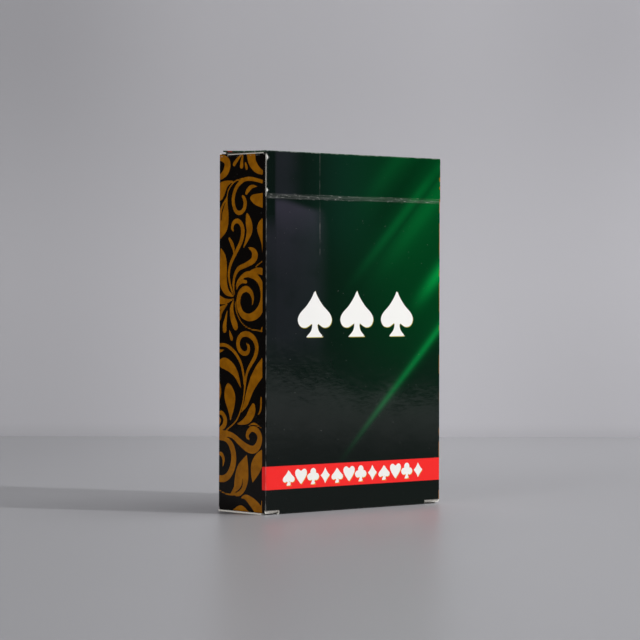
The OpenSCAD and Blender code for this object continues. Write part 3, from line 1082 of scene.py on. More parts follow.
@dataclass
class Sleeve:
    """The folded body of the box: four panels, the bottom panel and the flaps turned in above it."""

    sizes: BoxSizes
    shape: BoxShape
    design: PrintDesign
    flap_len: float = 24.0
    flap_taper: float = 2.5
    seam: float = 0.43
    beside_flap: float = 3.3
    left_relief: float = 4.5
    floor_rise: tuple[float, float, float, float] = (0.7, 0.35, 0.0, 0.35)
    side_drop: float = 0.6
    back_drop: float = 0.2
    bottom_inset: float = 0.02
    flap_inset: float = 0.05
    bottom_turn: float = 0.4
    print_from: float = 0.3
    bleed: float = 4.0
    fine_step: float = 0.1
    back_step: float = 1.1
    left_step: float = 0.28
    front_step: float = 0.5
    up_step: float = 0.37
    flap_step: float = 1.6

    def panel_of(self, u: Array) -> Array:
        """Find the number of the Panel at each place."""
        return np.searchsorted([self.sizes.left_u, self.sizes.front_u, self.sizes.right_u], u, side="right")

    def place(self, u: Array, v: Array) -> tuple[Array, Array]:
        """Fold net coordinates into the box.

        Args:
            u: Net coordinate along the panels.
            v: Net coordinate up.

        Returns:
            Points of the printed face and outward normals, one row each.
        """
        k = self.sizes
        panel = self.panel_of(u)
        start = np.array([0, k.left_u, k.front_u, k.right_u])[panel]
        width = np.array([k.width, k.depth, k.width, k.depth])[panel]
        normal = np.array([(0, 1, 0), (-1, 0, 0), (0, -1, 0), (1, 0, 0)], float)[panel]
        along = np.array([(-1, 0, 0), (0, -1, 0), (1, 0, 0), (0, 1, 0)], float)[panel]
        corner = np.array([(k.half_w, k.back_y, 0), (-k.half_w, k.back_y, 0), (-k.half_w, k.front_y, 0),
                           (k.half_w, k.front_y, 0)])[panel]
        local = u - start
        inset = np.array(self.floor_rise)[panel]
        turn = np.clip((inset + k.flat_r - v) / (2 * k.flat_r), 0, 1) * math.pi / 2
        reach_in = np.maximum(inset - k.flat_r - v, 0)
        is_side = np.isin(panel, (Panel.LEFT, Panel.RIGHT))
        taper = np.where(is_side, self.flap_taper / self.flap_len, 0.0) * reach_in
        local = local + np.sign(width / 2 - local) * taper * np.abs(2 * local / width - 1)
        points = corner + along * local[:, None]
        points -= normal * (k.flat_r * (1 - np.cos(turn)) + reach_in)[:, None]
        points[:, 2] = np.where(turn > 0, inset + k.flat_r * (1 - np.sin(turn)), v)
        facing = normal * np.cos(turn)[:, None]
        facing[:, 2] = -np.sin(turn)
        stand_off = np.select(
            [panel == Panel.FRONT, panel == Panel.BACK],
            [self.shape.front(local, v), self.shape.panel(local, v, k.width, self.shape.front_bulge)],
            self.shape.panel(local, v, k.depth, self.shape.side_bulge))
        points += facing * (stand_off * np.cos(turn))[:, None]
        self.round_corners(u, v, points, facing)
        return points, facing

    def round_corners(self, u: Array, v: Array, points: Array, facing: Array) -> None:
        """Turn the points next to an upright fold round it.

        Args:
            u: Net coordinate along the panels.
            v: Net coordinate up.
            points: Points of the printed face, which are changed.
            facing: Outward normals, which are changed.
        """
        k = self.sizes
        folds = (
            (0.0, (k.half_w, k.back_y), (1, 0), (0, 1)),
            (k.left_u, (-k.half_w, k.back_y), (0, 1), (-1, 0)),
            (k.front_u, (-k.half_w, k.front_y), (-1, 0), (0, -1)),
            (k.right_u, (k.half_w, k.front_y), (0, -1), (1, 0)),
        )
        for at, corner, before, after in folds:
            near = (np.abs(u - at) <= k.upright_r + 1e-6) & (v > 0)
            turn = (u[near] - at + k.upright_r) / (2 * k.upright_r) * math.pi / 2
            out = np.outer(np.cos(turn), before) + np.outer(np.sin(turn), after)
            middle = np.array(corner) - k.upright_r * (np.array(before) + np.array(after))
            points[near, :2] = middle + k.upright_r * out
            facing[near, :2] = out
            facing[near, 2] = 0

    def build(self, finishes: tuple[bpy.types.Material, ...]) -> bpy.types.Object:
        """Make the sleeve.

        Args:
            finishes: Finishes of the printed face, the bare face and the cut edges.

        Returns:
            The sleeve's object.
        """
        k, r, fine = self.sizes, self.sizes.upright_r, self.fine_step
        low, crease_v = k.corner_z, k.crease_z - k.crease_reach
        side_v, back_v, slit = k.dust_z - self.side_drop, k.top_z - self.back_drop, k.board + k.slit
        left, front, right, end = k.left_u, k.front_u, k.right_u, k.end_u - self.seam
        notch_left, notch_right = front + self.left_relief, right - k.relief_w
        under_left, under_right = front + self.bottom_inset, right - self.bottom_inset
        flap_left, flap_right = left + r + self.flap_inset, end - self.flap_inset
        beside_left, beside_right = left + self.beside_flap, end - self.beside_flap
        us = joined(
            lines(-r, r, step=fine), lines(r, left - r, step=self.back_step), lines(left - r, left + r, step=fine),
            lines(left + r, flap_left, beside_left, front - slit, step=self.left_step),
            lines(front - slit, front + r, step=fine),
            lines(front + r, notch_left, notch_right, right - r, step=self.front_step),
            lines(right - r, right + slit, step=fine),
            lines(right + slit, beside_right, flap_right, end, step=self.front_step),
            [front, under_left, under_right, right, left])
        inner_end = self.floor_rise[Panel.BACK] - k.depth + k.board
        side_end, bottom_end = self.floor_rise[Panel.LEFT] - self.flap_len, -k.depth + 0.1
        vs = joined(
            lines(side_end, bottom_end, inner_end, -k.relief_d, -self.bottom_turn, step=self.flap_step),
            lines(-self.bottom_turn, low, step=fine),
            lines(low, crease_v - k.crease_reach, step=self.up_step),
            lines(crease_v - k.crease_reach, crease_v, step=fine),
            lines(crease_v, side_v, k.dust_z, back_v, step=self.up_step))
        cuts = (
            (-r, left, low, back_v), (left, front, low, crease_v), (left, front - slit, crease_v, side_v),
            (front, right, low, crease_v), (right, end, low, crease_v), (right + slit, end, crease_v, side_v),
            (notch_left, notch_right, -k.relief_d, low), (under_left, under_right, bottom_end, -k.relief_d),
            (flap_left, front - slit, side_end, low), (right + slit, flap_right, side_end, low),
            (r, left - r, inner_end, low), (left, beside_left, side_v, k.dust_z),
            (beside_right, end, side_v, k.dust_z),
        )
        sheet = BoardSheet("carton_sleeve", us, vs, cuts, self.place, k.board)
        piece, u, v = sheet.build(finishes)
        panel = self.panel_of(u)
        design = self.design
        printed = PrintMap.plain(u.size, design.under_black)
        is_front, is_side = panel == Panel.FRONT, np.isin(panel, (Panel.LEFT, Panel.RIGHT))
        printed.fill(panel == Panel.BACK, design.front(u, v, small_marks=False))
        printed.fill(panel == Panel.LEFT, design.side(u - left, v))
        printed.fill(is_front, design.front(u - front, v, small_marks=True))
        printed.fill(panel == Panel.RIGHT, design.side(k.end_u - u - design.right_shift, v))
        printed.fill(v < self.print_from, PrintMap.plain(u.size, design.under_black))
        printed.fill((v < -self.bleed) & ~is_front, PrintMap.plain(u.size, design.board_white))
        fold = np.min([np.abs(u - at) for at in (0, left, front, right)], axis=0)
        fold = np.minimum(fold, np.where(is_front, np.abs(v), -FAR_OUT))
        cut = np.where(is_side, np.abs(side_v - v), -FAR_OUT)
        crease = np.where(is_front, v - k.crease_z + self.shape.crease_drop, -FAR_OUT)
        dress(piece, u, v, printed, fold, crease, cut)
        return piece


@dataclass
class Lid:
    """The lid: front strip, top and tuck flap, each with the fold that joins it to the one before."""

    sizes: BoxSizes
    shape: BoxShape
    design: PrintDesign
    fold_r: float = 0.42
    fold_reach: float = 0.7
    tuck_len: float = 10.5
    tuck_corner_r: float = 5.0
    tuck_inset: float = 1.2
    bleed: float = 2.2
    top_bulge: float = 0.1
    stripe: tuple[float, float] = (2.0, 4.8)
    fine_step: float = 0.1

    @property
    def tuck_v(self) -> float:
        """Where the tuck flap's piece begins in the net."""
        return self.sizes.top_z + self.sizes.tuck_y - self.sizes.front_y - self.fold_reach

    def place(self, u: Array, v: Array) -> tuple[Array, Array]:
        """Fold net coordinates over the box: up the front, back along the top and down inside the back.

        Args:
            u: Places from the middle of the box.
            v: Net coordinate up the front and on.

        Returns:
            Points of the printed face and outward normals, one row each.
        """
        k, r = self.sizes, self.fold_r
        top, back = k.top_z, k.top_z + k.tuck_y - k.front_y
        first = np.clip((v - top + r) / (2 * r), 0, 1) * math.pi / 2
        second = np.clip((v - back + r) / (2 * r), 0, 1) * math.pi / 2
        y = np.where(v < top + r, k.front_y + r * (1 - np.cos(first)), k.front_y + v - top)
        y = np.where(second > 0, k.tuck_y - r + r * np.sin(second), y)
        z = np.where(v < top - r, v, top - r + r * np.sin(first))
        z = np.where(second > 0, top - r + r * np.cos(second), z)
        z = np.where(v > back + r, top - r - (v - back - r), z)
        tip = back + self.tuck_len
        round_off = np.clip(self.tuck_corner_r - (tip - v), 0, self.tuck_corner_r)
        narrow = self.tuck_corner_r - np.sqrt(self.tuck_corner_r ** 2 - round_off ** 2)
        half = k.half_w - self.tuck_inset
        x = np.where(v > self.tuck_v, u * (half - narrow) / half, u)
        turn = first + second
        facing = np.stack([np.zeros_like(v), -np.cos(turn), np.sin(turn)], -1)
        points = np.stack([x, y, z + self.shape.lid_lift(y)], -1)
        stand_off = self.shape.front(u + k.half_w, v) * ease(top - 0.5, top - 1.5, v)
        crown = np.sin(np.clip((y - k.front_y) / k.depth, 0, 1) * math.pi) * (1 - (u / k.half_w) ** 2)
        stand_off += self.top_bulge * crown * (second == 0) * (first >= 1.5)
        return points + facing * stand_off[:, None], facing

    def printed(self, u: Array, v: Array) -> PrintMap:
        """Print the lid: the front's ground runs on over the fold to a red stripe, then bare lining.

        Args:
            u: Places from the middle of the box.
            v: Net coordinate up the front and on.

        Returns:
            The printed map.
        """
        k = self.sizes
        back = k.top_z + k.tuck_y - k.front_y
        made = self.design.front(u + k.half_w, v, small_marks=False)
        on_top = v > k.top_z + 0.1
        to_back = back - v
        made.ink[on_top] = self.design.front_ground(46 + 0.2 * u[on_top], np.full(on_top.sum(), 66.0))
        made.red = np.where(on_top, np.minimum(to_back - self.stripe[0], self.stripe[1] - to_back), FAR_OUT)
        # The stripe stops just short of the lid's cut sides.
        at_rim = np.abs(u) > k.half_w - k.slit - 0.08
        made.red = np.where(at_rim, np.minimum(made.red, -0.02), made.red)
        made.gold[on_top], made.painted_purple_reflection[on_top] = FAR_OUT, 0.0
        made.fill(v > back + self.bleed, PrintMap.plain(u.size, self.design.board_white))
        return made

    def piece(self, name: str, half: float, low: float, high: float, rows: Array,
              finishes: tuple[bpy.types.Material, ...]) -> bpy.types.Object:
        """Make one piece of the lid.

        Args:
            name: Name of the piece.
            half: Half of its width.
            low: Where it begins in the net.
            high: Where it ends in the net.
            rows: Lines of the net across it.
            finishes: Finishes of the printed face, the bare face and the cut edges.

        Returns:
            The piece's object.
        """
        sheet = BoardSheet(name, lines(-half, -half + 0.1, half - 0.1, half, step=0.42), rows,
                           ((-half, half, low, high),), self.place, self.sizes.board)
        piece, u, v = sheet.build(finishes)
        k = self.sizes
        fold = np.minimum(np.abs(v - k.top_z), np.abs(v - k.top_z - k.tuck_y + k.front_y))
        # Two chips in the left edge, below the top fold and above the crease.
        chips = 0.75 * (bell(v - k.top_z + 1.7, 0.75) + bell(v - k.crease_z - 1.1, 0.55)) * (u < 0)
        dress(piece, u + k.front_u + k.half_w, v, self.printed(u, v), fold,
              v - k.crease_z + self.shape.crease_drop, half - np.abs(u) - chips)
        return piece

    def build(self, finishes: tuple[bpy.types.Material, ...]) -> tuple[bpy.types.Object, ...]:
        """Make the strip, the top and the tuck flap.

        Args:
            finishes: Finishes of the printed face, the bare face and the cut edges.

        Returns:
            The three objects.
        """
        k, reach, fine = self.sizes, self.fold_reach, self.fine_step
        half = k.half_w - k.slit
        start, over = k.crease_z - k.crease_reach, k.top_z - reach
        back = k.top_z + k.tuck_y - k.front_y
        tip = back + self.tuck_len
        # The strip's cut edges, which face the slits beside the lid, are a darker grey board with pale fibres.
        greyer = PulpBoard("greyer_cut_edge", "#8e8c85", "#dcd9d0", 0.85, 0.9).material()
        strip = self.piece("lid_strip_board", half, start, over, joined(
            lines(start, k.crease_z + reach, step=fine), lines(k.crease_z + reach, over, step=0.4)),
            (*finishes[:2], greyer))
        top = self.piece("lid_top_board", half, over, self.tuck_v, joined(
            lines(over, k.top_z + reach, step=fine), lines(k.top_z + reach, self.tuck_v, step=0.4)),
            (finishes[0], finishes[1], finishes[0]))
        tuck = self.piece("tuck_flap_board", half - self.tuck_inset + k.slit, self.tuck_v, tip - 0.02, joined(
            lines(self.tuck_v, back + reach, step=fine),
            lines(back + reach, tip - self.tuck_corner_r, step=0.7),
            lines(tip - self.tuck_corner_r, tip - 0.4, tip - 0.02, step=0.35)), finishes)
        return strip, top, tuck


@dataclass
class DustFlap:
    """A flap turned in from the top of one side, under the lid."""

    sizes: BoxSizes
    design: PrintDesign
    side: Side
    length: float = 10.0
    fold_reach: float = 0.6
    columns: int = 37
    fine_step: float = 0.1
    coarse_step: float = 0.8
    front_inset: float = 0.85
    front_slope: float = 6.0
    back_inset: float = 3.15
    back_slope: float = 2.7
    fold_r: float = 0.4
    bleed: float = -0.2

    def place(self, u: Array, v: Array) -> tuple[Array, Array]:
        """Fold net coordinates over the top of the side.

        Args:
            u: Places along the side, from the left as seen from outside.
            v: Net coordinate up the side and on.

        Returns:
            Points of the printed face and outward normals, one row each.
        """
        k, r = self.sizes, self.fold_r
        turn = np.clip((v - k.dust_z + r) / (2 * r), 0, 1) * math.pi / 2
        inward = np.where(v < k.dust_z + r, r * (1 - np.cos(turn)), v - k.dust_z)
        z = np.where(v < k.dust_z - r, v, k.dust_z - r + r * np.sin(turn))
        share = np.clip(inward / self.length, 0, 1)
        front = k.front_y + k.board + self.front_inset + self.front_slope * share
        back = k.back_y - k.board - self.back_inset - self.back_slope * share
        y = front + (back - front) * (u if self.side is Side.RIGHT else 1 - u)
        points = np.stack([self.side * (k.half_w - inward), y, z], -1)
        facing = np.stack([self.side * np.cos(turn), np.zeros_like(v), np.sin(turn)], -1)
        return points, facing

    def build(self, finishes: tuple[bpy.types.Material, ...]) -> bpy.types.Object:
        """Make the flap.

        Args:
            finishes: Finishes of the printed face, the bare face and the cut edges.

        Returns:
            The flap's object.
        """
        k = self.sizes
        name = "right_dust_flap_board" if self.side is Side.RIGHT else "left_dust_flap_board"
        low, turned, high = k.dust_z - self.fold_reach, k.dust_z + self.fold_reach, k.dust_z + self.length
        rows = joined(lines(low, turned, step=self.fine_step), lines(turned, high, step=self.coarse_step))
        columns = np.linspace(0, 1, self.columns)
        sheet = BoardSheet(name, columns, rows, ((0, 1, low, high),), self.place, k.board)
        piece, u, v = sheet.build(finishes)
        y = self.place(u, v)[0][:, 1]
        printed = self.design.side(k.back_y - y, np.minimum(v, k.top_z))
        printed.fill(v > k.dust_z + self.bleed, PrintMap.plain(u.size, self.design.board_white))
        away = np.full(u.size, -FAR_OUT)
        dress(piece, k.back_y - y + k.left_u, v, printed, np.abs(v - k.dust_z), away, away)
        return piece


@dataclass
class Deck:
    """Fifty-four cards, squared up by hand, so that no two lie quite alike."""

    pips: Pips
    half_w: float
    height: float
    thickness: float
    corner_r: float = 3.5
    jitter: float = 0.14
    arc_steps: int = 6
    frame_margin: float = 3.0
    large_pip_h: float = 26.0
    corner_pip_h: float = 8.0
    corner_pip_at: tuple[float, float] = (6.0, 9.5)

    def rounded(self, u: Array, v: Array) -> Array:
        """Draw the card's sides in towards its rounded corners.

        Args:
            u: Places across, from the card's middle.
            v: Places up, from its lower edge.

        Returns:
            The drawn-in places across.
        """
        near = np.clip(self.corner_r - np.minimum(v, self.height - v), 0, self.corner_r)
        narrow = self.corner_r - np.sqrt(self.corner_r ** 2 - near ** 2)
        return u * (self.half_w - narrow) / self.half_w

    def face_card(self, name: str, front: Vector, facing: Facing,
                  stock: bpy.types.Material) -> bpy.types.Object:
        """Make an outer card of the deck, whose printed face shows.

        Args:
            name: Name of the piece.
            front: Lowest corner of the card's node.
            facing: Which way the printed face looks.
            stock: Finish of the card.

        Returns:
            The card's object.
        """
        floor = front.z / MM
        face_y = front.y / MM if facing is Facing.FRONT else front.y / MM + self.thickness

        def place(u: Array, v: Array) -> tuple[Array, Array]:
            """Stand the card in its place."""
            x = self.rounded(u, v) * (-facing)
            points = np.stack([x, np.full_like(u, face_y), v + floor], -1)
            return points, np.tile((0.0, float(facing), 0.0), (u.size, 1))

        end, rim, high = 0.02, 0.3, self.height
        vs = joined(lines(end, rim, step=0.07), lines(rim, self.corner_r, step=0.32),
                    lines(self.corner_r, high - self.corner_r, step=0.5),
                    lines(high - self.corner_r, high - rim, step=0.32), lines(high - rim, high - end, step=0.07))
        us = lines(-self.half_w, -self.half_w + 0.1, self.half_w - 0.1, self.half_w, step=0.5)
        sheet = BoardSheet(name, us, vs, ((-self.half_w, self.half_w, end, high - end),), place, self.thickness)
        piece, u, v = sheet.build((stock, stock, stock))
        x, away = self.rounded(u, v), np.full(u.size, FAR_OUT)
        middle = high / 2
        pip, lattice = away, away
        if facing is Facing.FRONT:
            pip = self.pips.reach(Suit.SPADE, x, v - middle, self.large_pip_h)
            in_x, in_z = self.corner_pip_at
            for side in (-1, 1):
                pip_x, pip_z = side * x + self.half_w - in_x, side * (v - middle) - middle + in_z
                pip = np.maximum(pip, self.pips.reach(Suit.SPADE, pip_x, pip_z, self.corner_pip_h))
        else:
            lattice = np.minimum(self.half_w - np.abs(x), middle - np.abs(v - middle)) - self.frame_margin
        store(piece, "net_mm", x, v, np.zeros_like(u))
        store(piece, "marks_mm", pip, lattice, away)
        return piece

    def stack(self, fronts: list[Vector], stock: bpy.types.Material) -> bpy.types.Object:
        """Make the cards between the outer two.

        Args:
            fronts: Lowest corner of each card.
            stock: Finish of the cards.

        Returns:
            The stack's object.
        """
        rng = np.random.default_rng(11)
        angles = np.linspace(0, math.pi / 2, self.arc_steps)
        arc = self.corner_r * np.stack([np.cos(angles), np.sin(angles)], -1)
        reach = np.array([self.half_w - self.corner_r, self.height / 2 - self.corner_r])
        quarters = [(arc + reach) * (1, 1), (arc[::-1] + reach) * (-1, 1), (arc + reach) * (-1, -1),
                    (arc[::-1] + reach) * (1, -1)]
        outline = np.vstack(quarters) + (0, self.height / 2)
        count = len(outline)
        points, faces = [], []
        for front in fronts:
            shift = rng.uniform(-self.jitter, self.jitter), rng.uniform(0, self.jitter)
            base = len(points) * count
            y = front.y / MM
            for depth in (y, y + self.thickness):
                points.append(np.stack([outline[:, 0] + shift[0], np.full(count, depth),
                                        outline[:, 1] + front.z / MM + shift[1]], -1))
            near, far = list(range(base, base + count)), list(range(base + count, base + 2 * count))
            faces += [near, far[::-1]]
            faces += [[near[i - 1], far[i - 1], far[i], near[i]] for i in range(count)]
        corners = np.vstack(points)
        piece = finished_mesh("card_stack", corners, faces, [0] * len(faces), (stock,))
        away = np.full(len(corners), FAR_OUT)
        store(piece, "net_mm", corners[:, 0], corners[:, 2], corners[:, 1])
        store(piece, "marks_mm", away, away, away)
        return piece


@dataclass(frozen=True)
class BackgroundPaper:
    """Grey background paper, calendered to a satin surface, laid on the table and hung behind it.

    A row of fades holds a name, the place that it follows, where it begins and where it is full, in millimetres, and
    the least that it is. A row of sums holds a name, an operation and its terms.
    """

    # To the eye it is an even soft grey that shows the box faintly. Light and shade are painted into its colour:
    # paler patches behind and beside the box and far out on the table where the film mirrors it, and painted shade in
    # the wall's upper corners and where it meets the table.
    yaw: float
    name: str = "satin_background_paper"
    table: str = "#848487"
    # Painted light: far out on the table, where the film mirrors it, the paper is painted pale.
    table_pale: str = "#e4e4e6"
    wall: str = "#acabaf"
    # Painted shade: the wall darkens towards its upper corners.
    wall_painted_corner_shade: str = "#97969a"
    # Painted shade: the wall darkens where it meets the table.
    wall_painted_foot_shade: str = "#a5a4a8"
    roughness: float = 0.36
    beside_at: float = 22.0
    fades: tuple[tuple[str, str, float, float, float], ...] = (
        ("lit", "mirrored", 192, 555, 0), ("corner", "far", 40, 120, 0.24), ("corner_high", "up", 50, 160, 0),
        ("painted_light_patch", "far", 115, 20, 0), ("pool_low", "up", 140, 30, 0), ("pool_back", "depth", 0, 270, 0),
        ("painted_glow_by_box", "beside", 90, 15, 0), ("by_box_front", "depth", 120, -50, 0), ("foot", "up", 6, 0, 0))
    sums: tuple[tuple[str, str, tuple[str | float, ...]], ...] = (
        ("corner", "MULTIPLY", ("corner", "corner_high")), ("painted_light_patch", "MULTIPLY", ("painted_light_patch", "pool_low")),
        ("painted_light_patch", "MULTIPLY", ("painted_light_patch", "pool_back")), ("painted_glow_by_box", "MULTIPLY", ("painted_glow_by_box", "by_box_front")),
        ("gain", "MULTIPLY_ADD", ("painted_light_patch", 0.19, 1.0)), ("gain", "MULTIPLY_ADD", ("painted_glow_by_box", 0.13, "gain")))

    def material(self) -> bpy.types.Material:
        """Build the finish.

        Returns:
            The material, clear from behind.
        """
        made, tree = new_material(self.name)
        geometry = add_node(tree, "ShaderNodeNewGeometry")
        position = geometry.outputs["Position"]
        sine, cosine = math.sin(self.yaw), math.cos(self.yaw)
        value: dict[str | float, object] = {
            "up": add_node(tree, "ShaderNodeSeparateXYZ", None, {0: position}).outputs["Z"]}
        ways = {"mirrored": (sine, -cosine, 0), "aside": (cosine, -sine, 0), "depth": (sine, cosine, 0)}
        for name, way in ways.items():
            value[name] = add_node(tree, "ShaderNodeVectorMath", {"operation": "DOT_PRODUCT"},
                                   {0: position, 1: way}).outputs["Value"]
        value["beside"] = add_node(tree, "ShaderNodeMath", {"operation": "SUBTRACT"},
                                   {0: value["aside"], 1: self.beside_at * MM}).outputs[0]
        for name, signed in (("far", "aside"), ("beside", "beside")):
            value[name] = add_node(tree, "ShaderNodeMath", {"operation": "ABSOLUTE"}, {0: value[signed]}).outputs[0]
        for name, followed, begins, full, least in self.fades:
            value[name] = add_node(tree, "ShaderNodeMapRange", {"interpolation_type": "SMOOTHSTEP"}, {
                "Value": value[followed], "From Min": begins * MM, "From Max": full * MM, "To Min": least}).outputs[0]
        for name, operation, terms in self.sums:
            value[name] = add_node(tree, "ShaderNodeMath", {"operation": operation},
                                   {i: value.get(term, term) for i, term in enumerate(terms)}).outputs[0]
        slope = add_node(tree, "ShaderNodeSeparateXYZ", None, {0: geometry.outputs["Normal"]}).outputs["Z"]
        value["flat"] = add_node(tree, "ShaderNodeMapRange", None, {"Value": slope, "From Max": 0.3}).outputs[0]
        ground = add_node(tree, "ShaderNodeMix", {"data_type": "RGBA"}, {
            0: value["lit"], 6: linear(self.table), 7: linear(self.table_pale)}).outputs[2]
        colour = linear(self.wall)
        layers = (("corner", linear(self.wall_painted_corner_shade)), ("foot", linear(self.wall_painted_foot_shade)), ("flat", ground))
        for mask, laid_over in layers:
            colour = add_node(tree, "ShaderNodeMix", {"data_type": "RGBA"},
                              {0: value[mask], 6: colour, 7: laid_over}).outputs[2]
        # Painted light: the colour is raised in patches behind and beside the box.
        colour = add_node(tree, "ShaderNodeVectorMath", {"operation": "SCALE"},
                          {0: colour, "Scale": value["gain"]}).outputs[0]
        surface = add_node(tree, "ShaderNodeBsdfPrincipled", None, {
            "Base Color": colour, "Roughness": self.roughness, "IOR": 1.45})
        clear = add_node(tree, "ShaderNodeBsdfTransparent")
        either = add_node(tree, "ShaderNodeMixShader", None, {
            0: geometry.outputs["Backfacing"], 1: surface.outputs[0], 2: clear.outputs[0]})
        add_node(tree, "ShaderNodeOutputMaterial", None, {"Surface": either.outputs[0]})
        return made


@dataclass(frozen=True)
class Studio:
    """Table and wall of grey paper, soft lamps and the camera at the photograph's viewing angle.

    A row of lamps holds a name, a place, a power in watts, the width of the soft box and the place it looks at.
    """

    yaw: float = math.radians(41.791)
    roll: float = math.radians(-0.148)
    camera_at: tuple[float, float, float] = (-460.9, -511.3, 55.4)
    lens: float = 149.3
    shift_x: float = -0.00071
    shift_y: float = -0.04197
    wall_behind: float = 335.0
    wall_height: float = 300.0
    wall_ends: tuple[float, float] = (-450.0, 540.0)
    table_edge: tuple[tuple[float, float], ...] = (
        (-70, 751), (-123, 886), (-201, 1266), (-284, 1586), (-422, 2112), (-2600, 2112), (-2600, -450))
    lamps: tuple[tuple[str, tuple[float, ...], float, float, tuple[float, ...]], ...] = (
        ("key_right", (480, -880, 800), 11.0, 56, (0, 0, 45)), ("top_soft", (330, -360, 1250), 13.5, 900, (0, 0, 45)),
        ("fill_left", (-1200, -260, 320), 6.2, 500, (0, 0, 45)), ("rim_back", (450, 800, 1250), 2.0, 600, (0, 0, 45)),
        ("backdrop_right", (360, -2, 160), 0.25, 200, (267, 211, 70)))
    room: str = "#303033"
    room_seen: str = "#aeaeb2"

    def camera(self) -> None:
        """Place the camera, level and turned to the photograph's view."""
        data = bpy.data.cameras.new("camera")
        data.sensor_width, data.lens, data.shift_x, data.shift_y = 36.0, self.lens, self.shift_x, self.shift_y
        data.clip_start, data.clip_end = 0.01, 50.0
        camera = bpy.data.objects.new("camera", data)
        camera.location = Vector(self.camera_at) * MM
        camera.rotation_euler = (math.pi / 2, self.roll, -self.yaw)
        bpy.context.scene.collection.objects.link(camera)
        bpy.context.scene.camera = camera

    def sweep(self) -> None:
        """Lay the table and stand the wall behind the box."""
        away = Vector((math.sin(self.yaw), math.cos(self.yaw), 0))
        right = Vector((math.cos(self.yaw), -math.sin(self.yaw), 0))
        outline = [*((self.wall_behind, end) for end in self.wall_ends), *self.table_edge]
        table = [(away * d + right * w)[:] for d, w in outline]
        wall = [(away * self.wall_behind + right * w + Vector((0, 0, h)))[:]
                for h in (0, self.wall_height) for w in self.wall_ends]
        paper = BackgroundPaper(self.yaw).material()
        finished_mesh("paper_floor", np.array(table), [list(range(len(table)))[::-1]], [0], (paper,))
        finished_mesh("paper_wall", np.array(wall), [[0, 1, 3, 2]], [0], (paper,))

    def lights(self) -> None:
        """Hang the lamps and set the dim room, which the camera alone sees pale."""
        for name, at, power, size, aim_at in self.lamps:
            data = bpy.data.lights.new(name, "AREA")
            data.shape, data.size, data.energy = "DISK", size * MM, power
            lamp = bpy.data.objects.new(name, data)
            lamp.location = Vector(at) * MM
            aim = Vector(aim_at) * MM - lamp.location
            lamp.rotation_euler = aim.to_track_quat("-Z", "Y").to_euler()
            bpy.context.scene.collection.objects.link(lamp)
        world = bpy.data.worlds.new("dim_room")
        world.use_nodes = True
        tree = world.node_tree
        tree.nodes.clear()
        seen = add_node(tree, "ShaderNodeLightPath").outputs["Is Camera Ray"]
        pale = add_node(tree, "ShaderNodeMix", {"data_type": "RGBA"}, {
            0: seen, 6: linear(self.room), 7: linear(self.room_seen)}).outputs[2]
        sky = add_node(tree, "ShaderNodeBackground", None, {"Color": pale})
        add_node(tree, "ShaderNodeOutputWorld", None, {"Surface": sky.outputs[0]})
        bpy.context.scene.world = world

    def build(self) -> None:
        """Set the whole stage."""
        bpy.context.scene.view_settings.view_transform = "Standard"
        self.camera()
        self.sweep()
        self.lights()


def card_nodes() -> list[str]:
    """List the deck's nodes from front to back."""
    return sorted(frame["record"]["behaviour"]["bodies"]["deck"], key=lambda name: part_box(name)[0].y)


def build_deck(stock: bpy.types.Material) -> list[bpy.types.Object]:
    """Make the deck and let it ride on its body.

    Args:
        stock: Finish of the cards.

    Returns:
        The deck's pieces.
    """
    nodes = card_nodes()
    low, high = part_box(nodes[0])
    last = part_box("jokers")[1]
    thickness = (high.y - low.y) / MM
    pitch = (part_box(nodes[1])[0].y - low.y) / MM
    count = round(((last.y - low.y) / MM - thickness) / pitch) + 1
    deck = Deck(Pips(), high.x / MM, (high.z - low.z) / MM, thickness)
    fronts = [Vector((low.x, low.y + i * pitch * MM, low.z)) for i in range(count)]
    ace = deck.face_card("ace_of_spades_card", fronts[0], Facing.FRONT, stock)
    stack = deck.stack(fronts[1:-1], stock)
    joker = deck.face_card("last_card", fronts[-1], Facing.BACK, stock)
    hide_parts(nodes[0])
    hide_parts("jokers")
    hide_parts(*[n for n in nodes if n not in (nodes[0], "jokers")])
    for piece in (ace, stack, joker):
        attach(piece, "deck")
    return [ace, stack, joker]


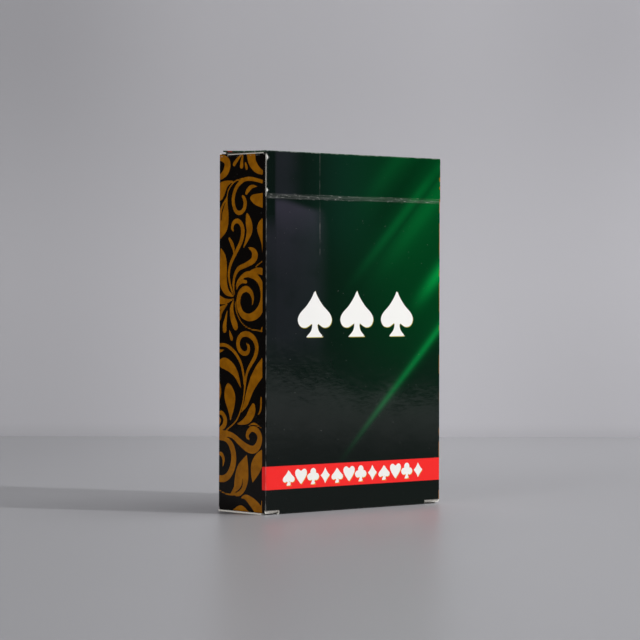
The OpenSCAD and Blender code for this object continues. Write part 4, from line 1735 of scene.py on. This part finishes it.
def build_box(sizes: BoxSizes) -> list[bpy.types.Object]:
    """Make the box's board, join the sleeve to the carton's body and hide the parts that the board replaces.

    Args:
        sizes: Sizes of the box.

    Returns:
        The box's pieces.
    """
    film = GlossFilmBoard().material()
    bare = PulpBoard("uncoated_board_inside").material()
    cut = PulpBoard("cut_board_edge", "#efece4", "#d8d3c8", 0.85, 0.18).material()
    finishes = (film, bare, cut)
    shape, design = BoxShape(sizes), PrintDesign(sizes)
    sleeve = Sleeve(sizes, shape, design).build(finishes)
    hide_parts("front_panel", "back_panel", "left_side_panel", "right_side_panel", "bottom_panel",
                "bottom_inner_flap", "bottom_left_flap", "bottom_right_flap")
    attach(sleeve, "carton")
    glue = frame["nodes"]["glue_flap"]
    glue.data.materials.clear()
    glue.data.materials.append(bare)

    lid = Lid(sizes, shape, design)
    strip, top, tuck = lid.build(finishes)
    y0, y1, z1 = sizes.front_y * MM, sizes.tuck_y * MM, sizes.top_z * MM
    # Height of the lid's back, where it stands up off the box.
    lifted = z1 + float(shape.lid_lift(np.array(sizes.tuck_y))) * MM
    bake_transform(strip)
    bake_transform(top)
    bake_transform(tuck)
    for piece, node, slot in ((strip, "lid_strip", "green_gloss_board"), (top, "lid_top", "black_gloss_board"),
                              (tuck, "tuck_flap", "bare_board")):
        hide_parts(node)
    pieces = [sleeve, strip, top, tuck]
    for side, body in ((Side.LEFT, "left_dust_flap"), (Side.RIGHT, "right_dust_flap")):
        flap = DustFlap(sizes, design, side).build(finishes)
        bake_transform(flap)
        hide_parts(body)
        pieces.append(flap)
    return pieces


def main() -> None:
    """Build the stage, the box and the deck."""
    logging.basicConfig(level=logging.INFO, format="%(message)s")
    Studio().build()
    sizes = BoxSizes.from_frame()
    LOG.info("sizes %s", sizes)
    stock = CardStock("clay_coated_card_stock").material()
    for piece in build_box(sizes) + build_deck(stock):
        LOG.info("piece %s: %d points, %d faces", piece.name, len(piece.data.vertices), len(piece.data.polygons))


if __name__ == "__main__":
    main()
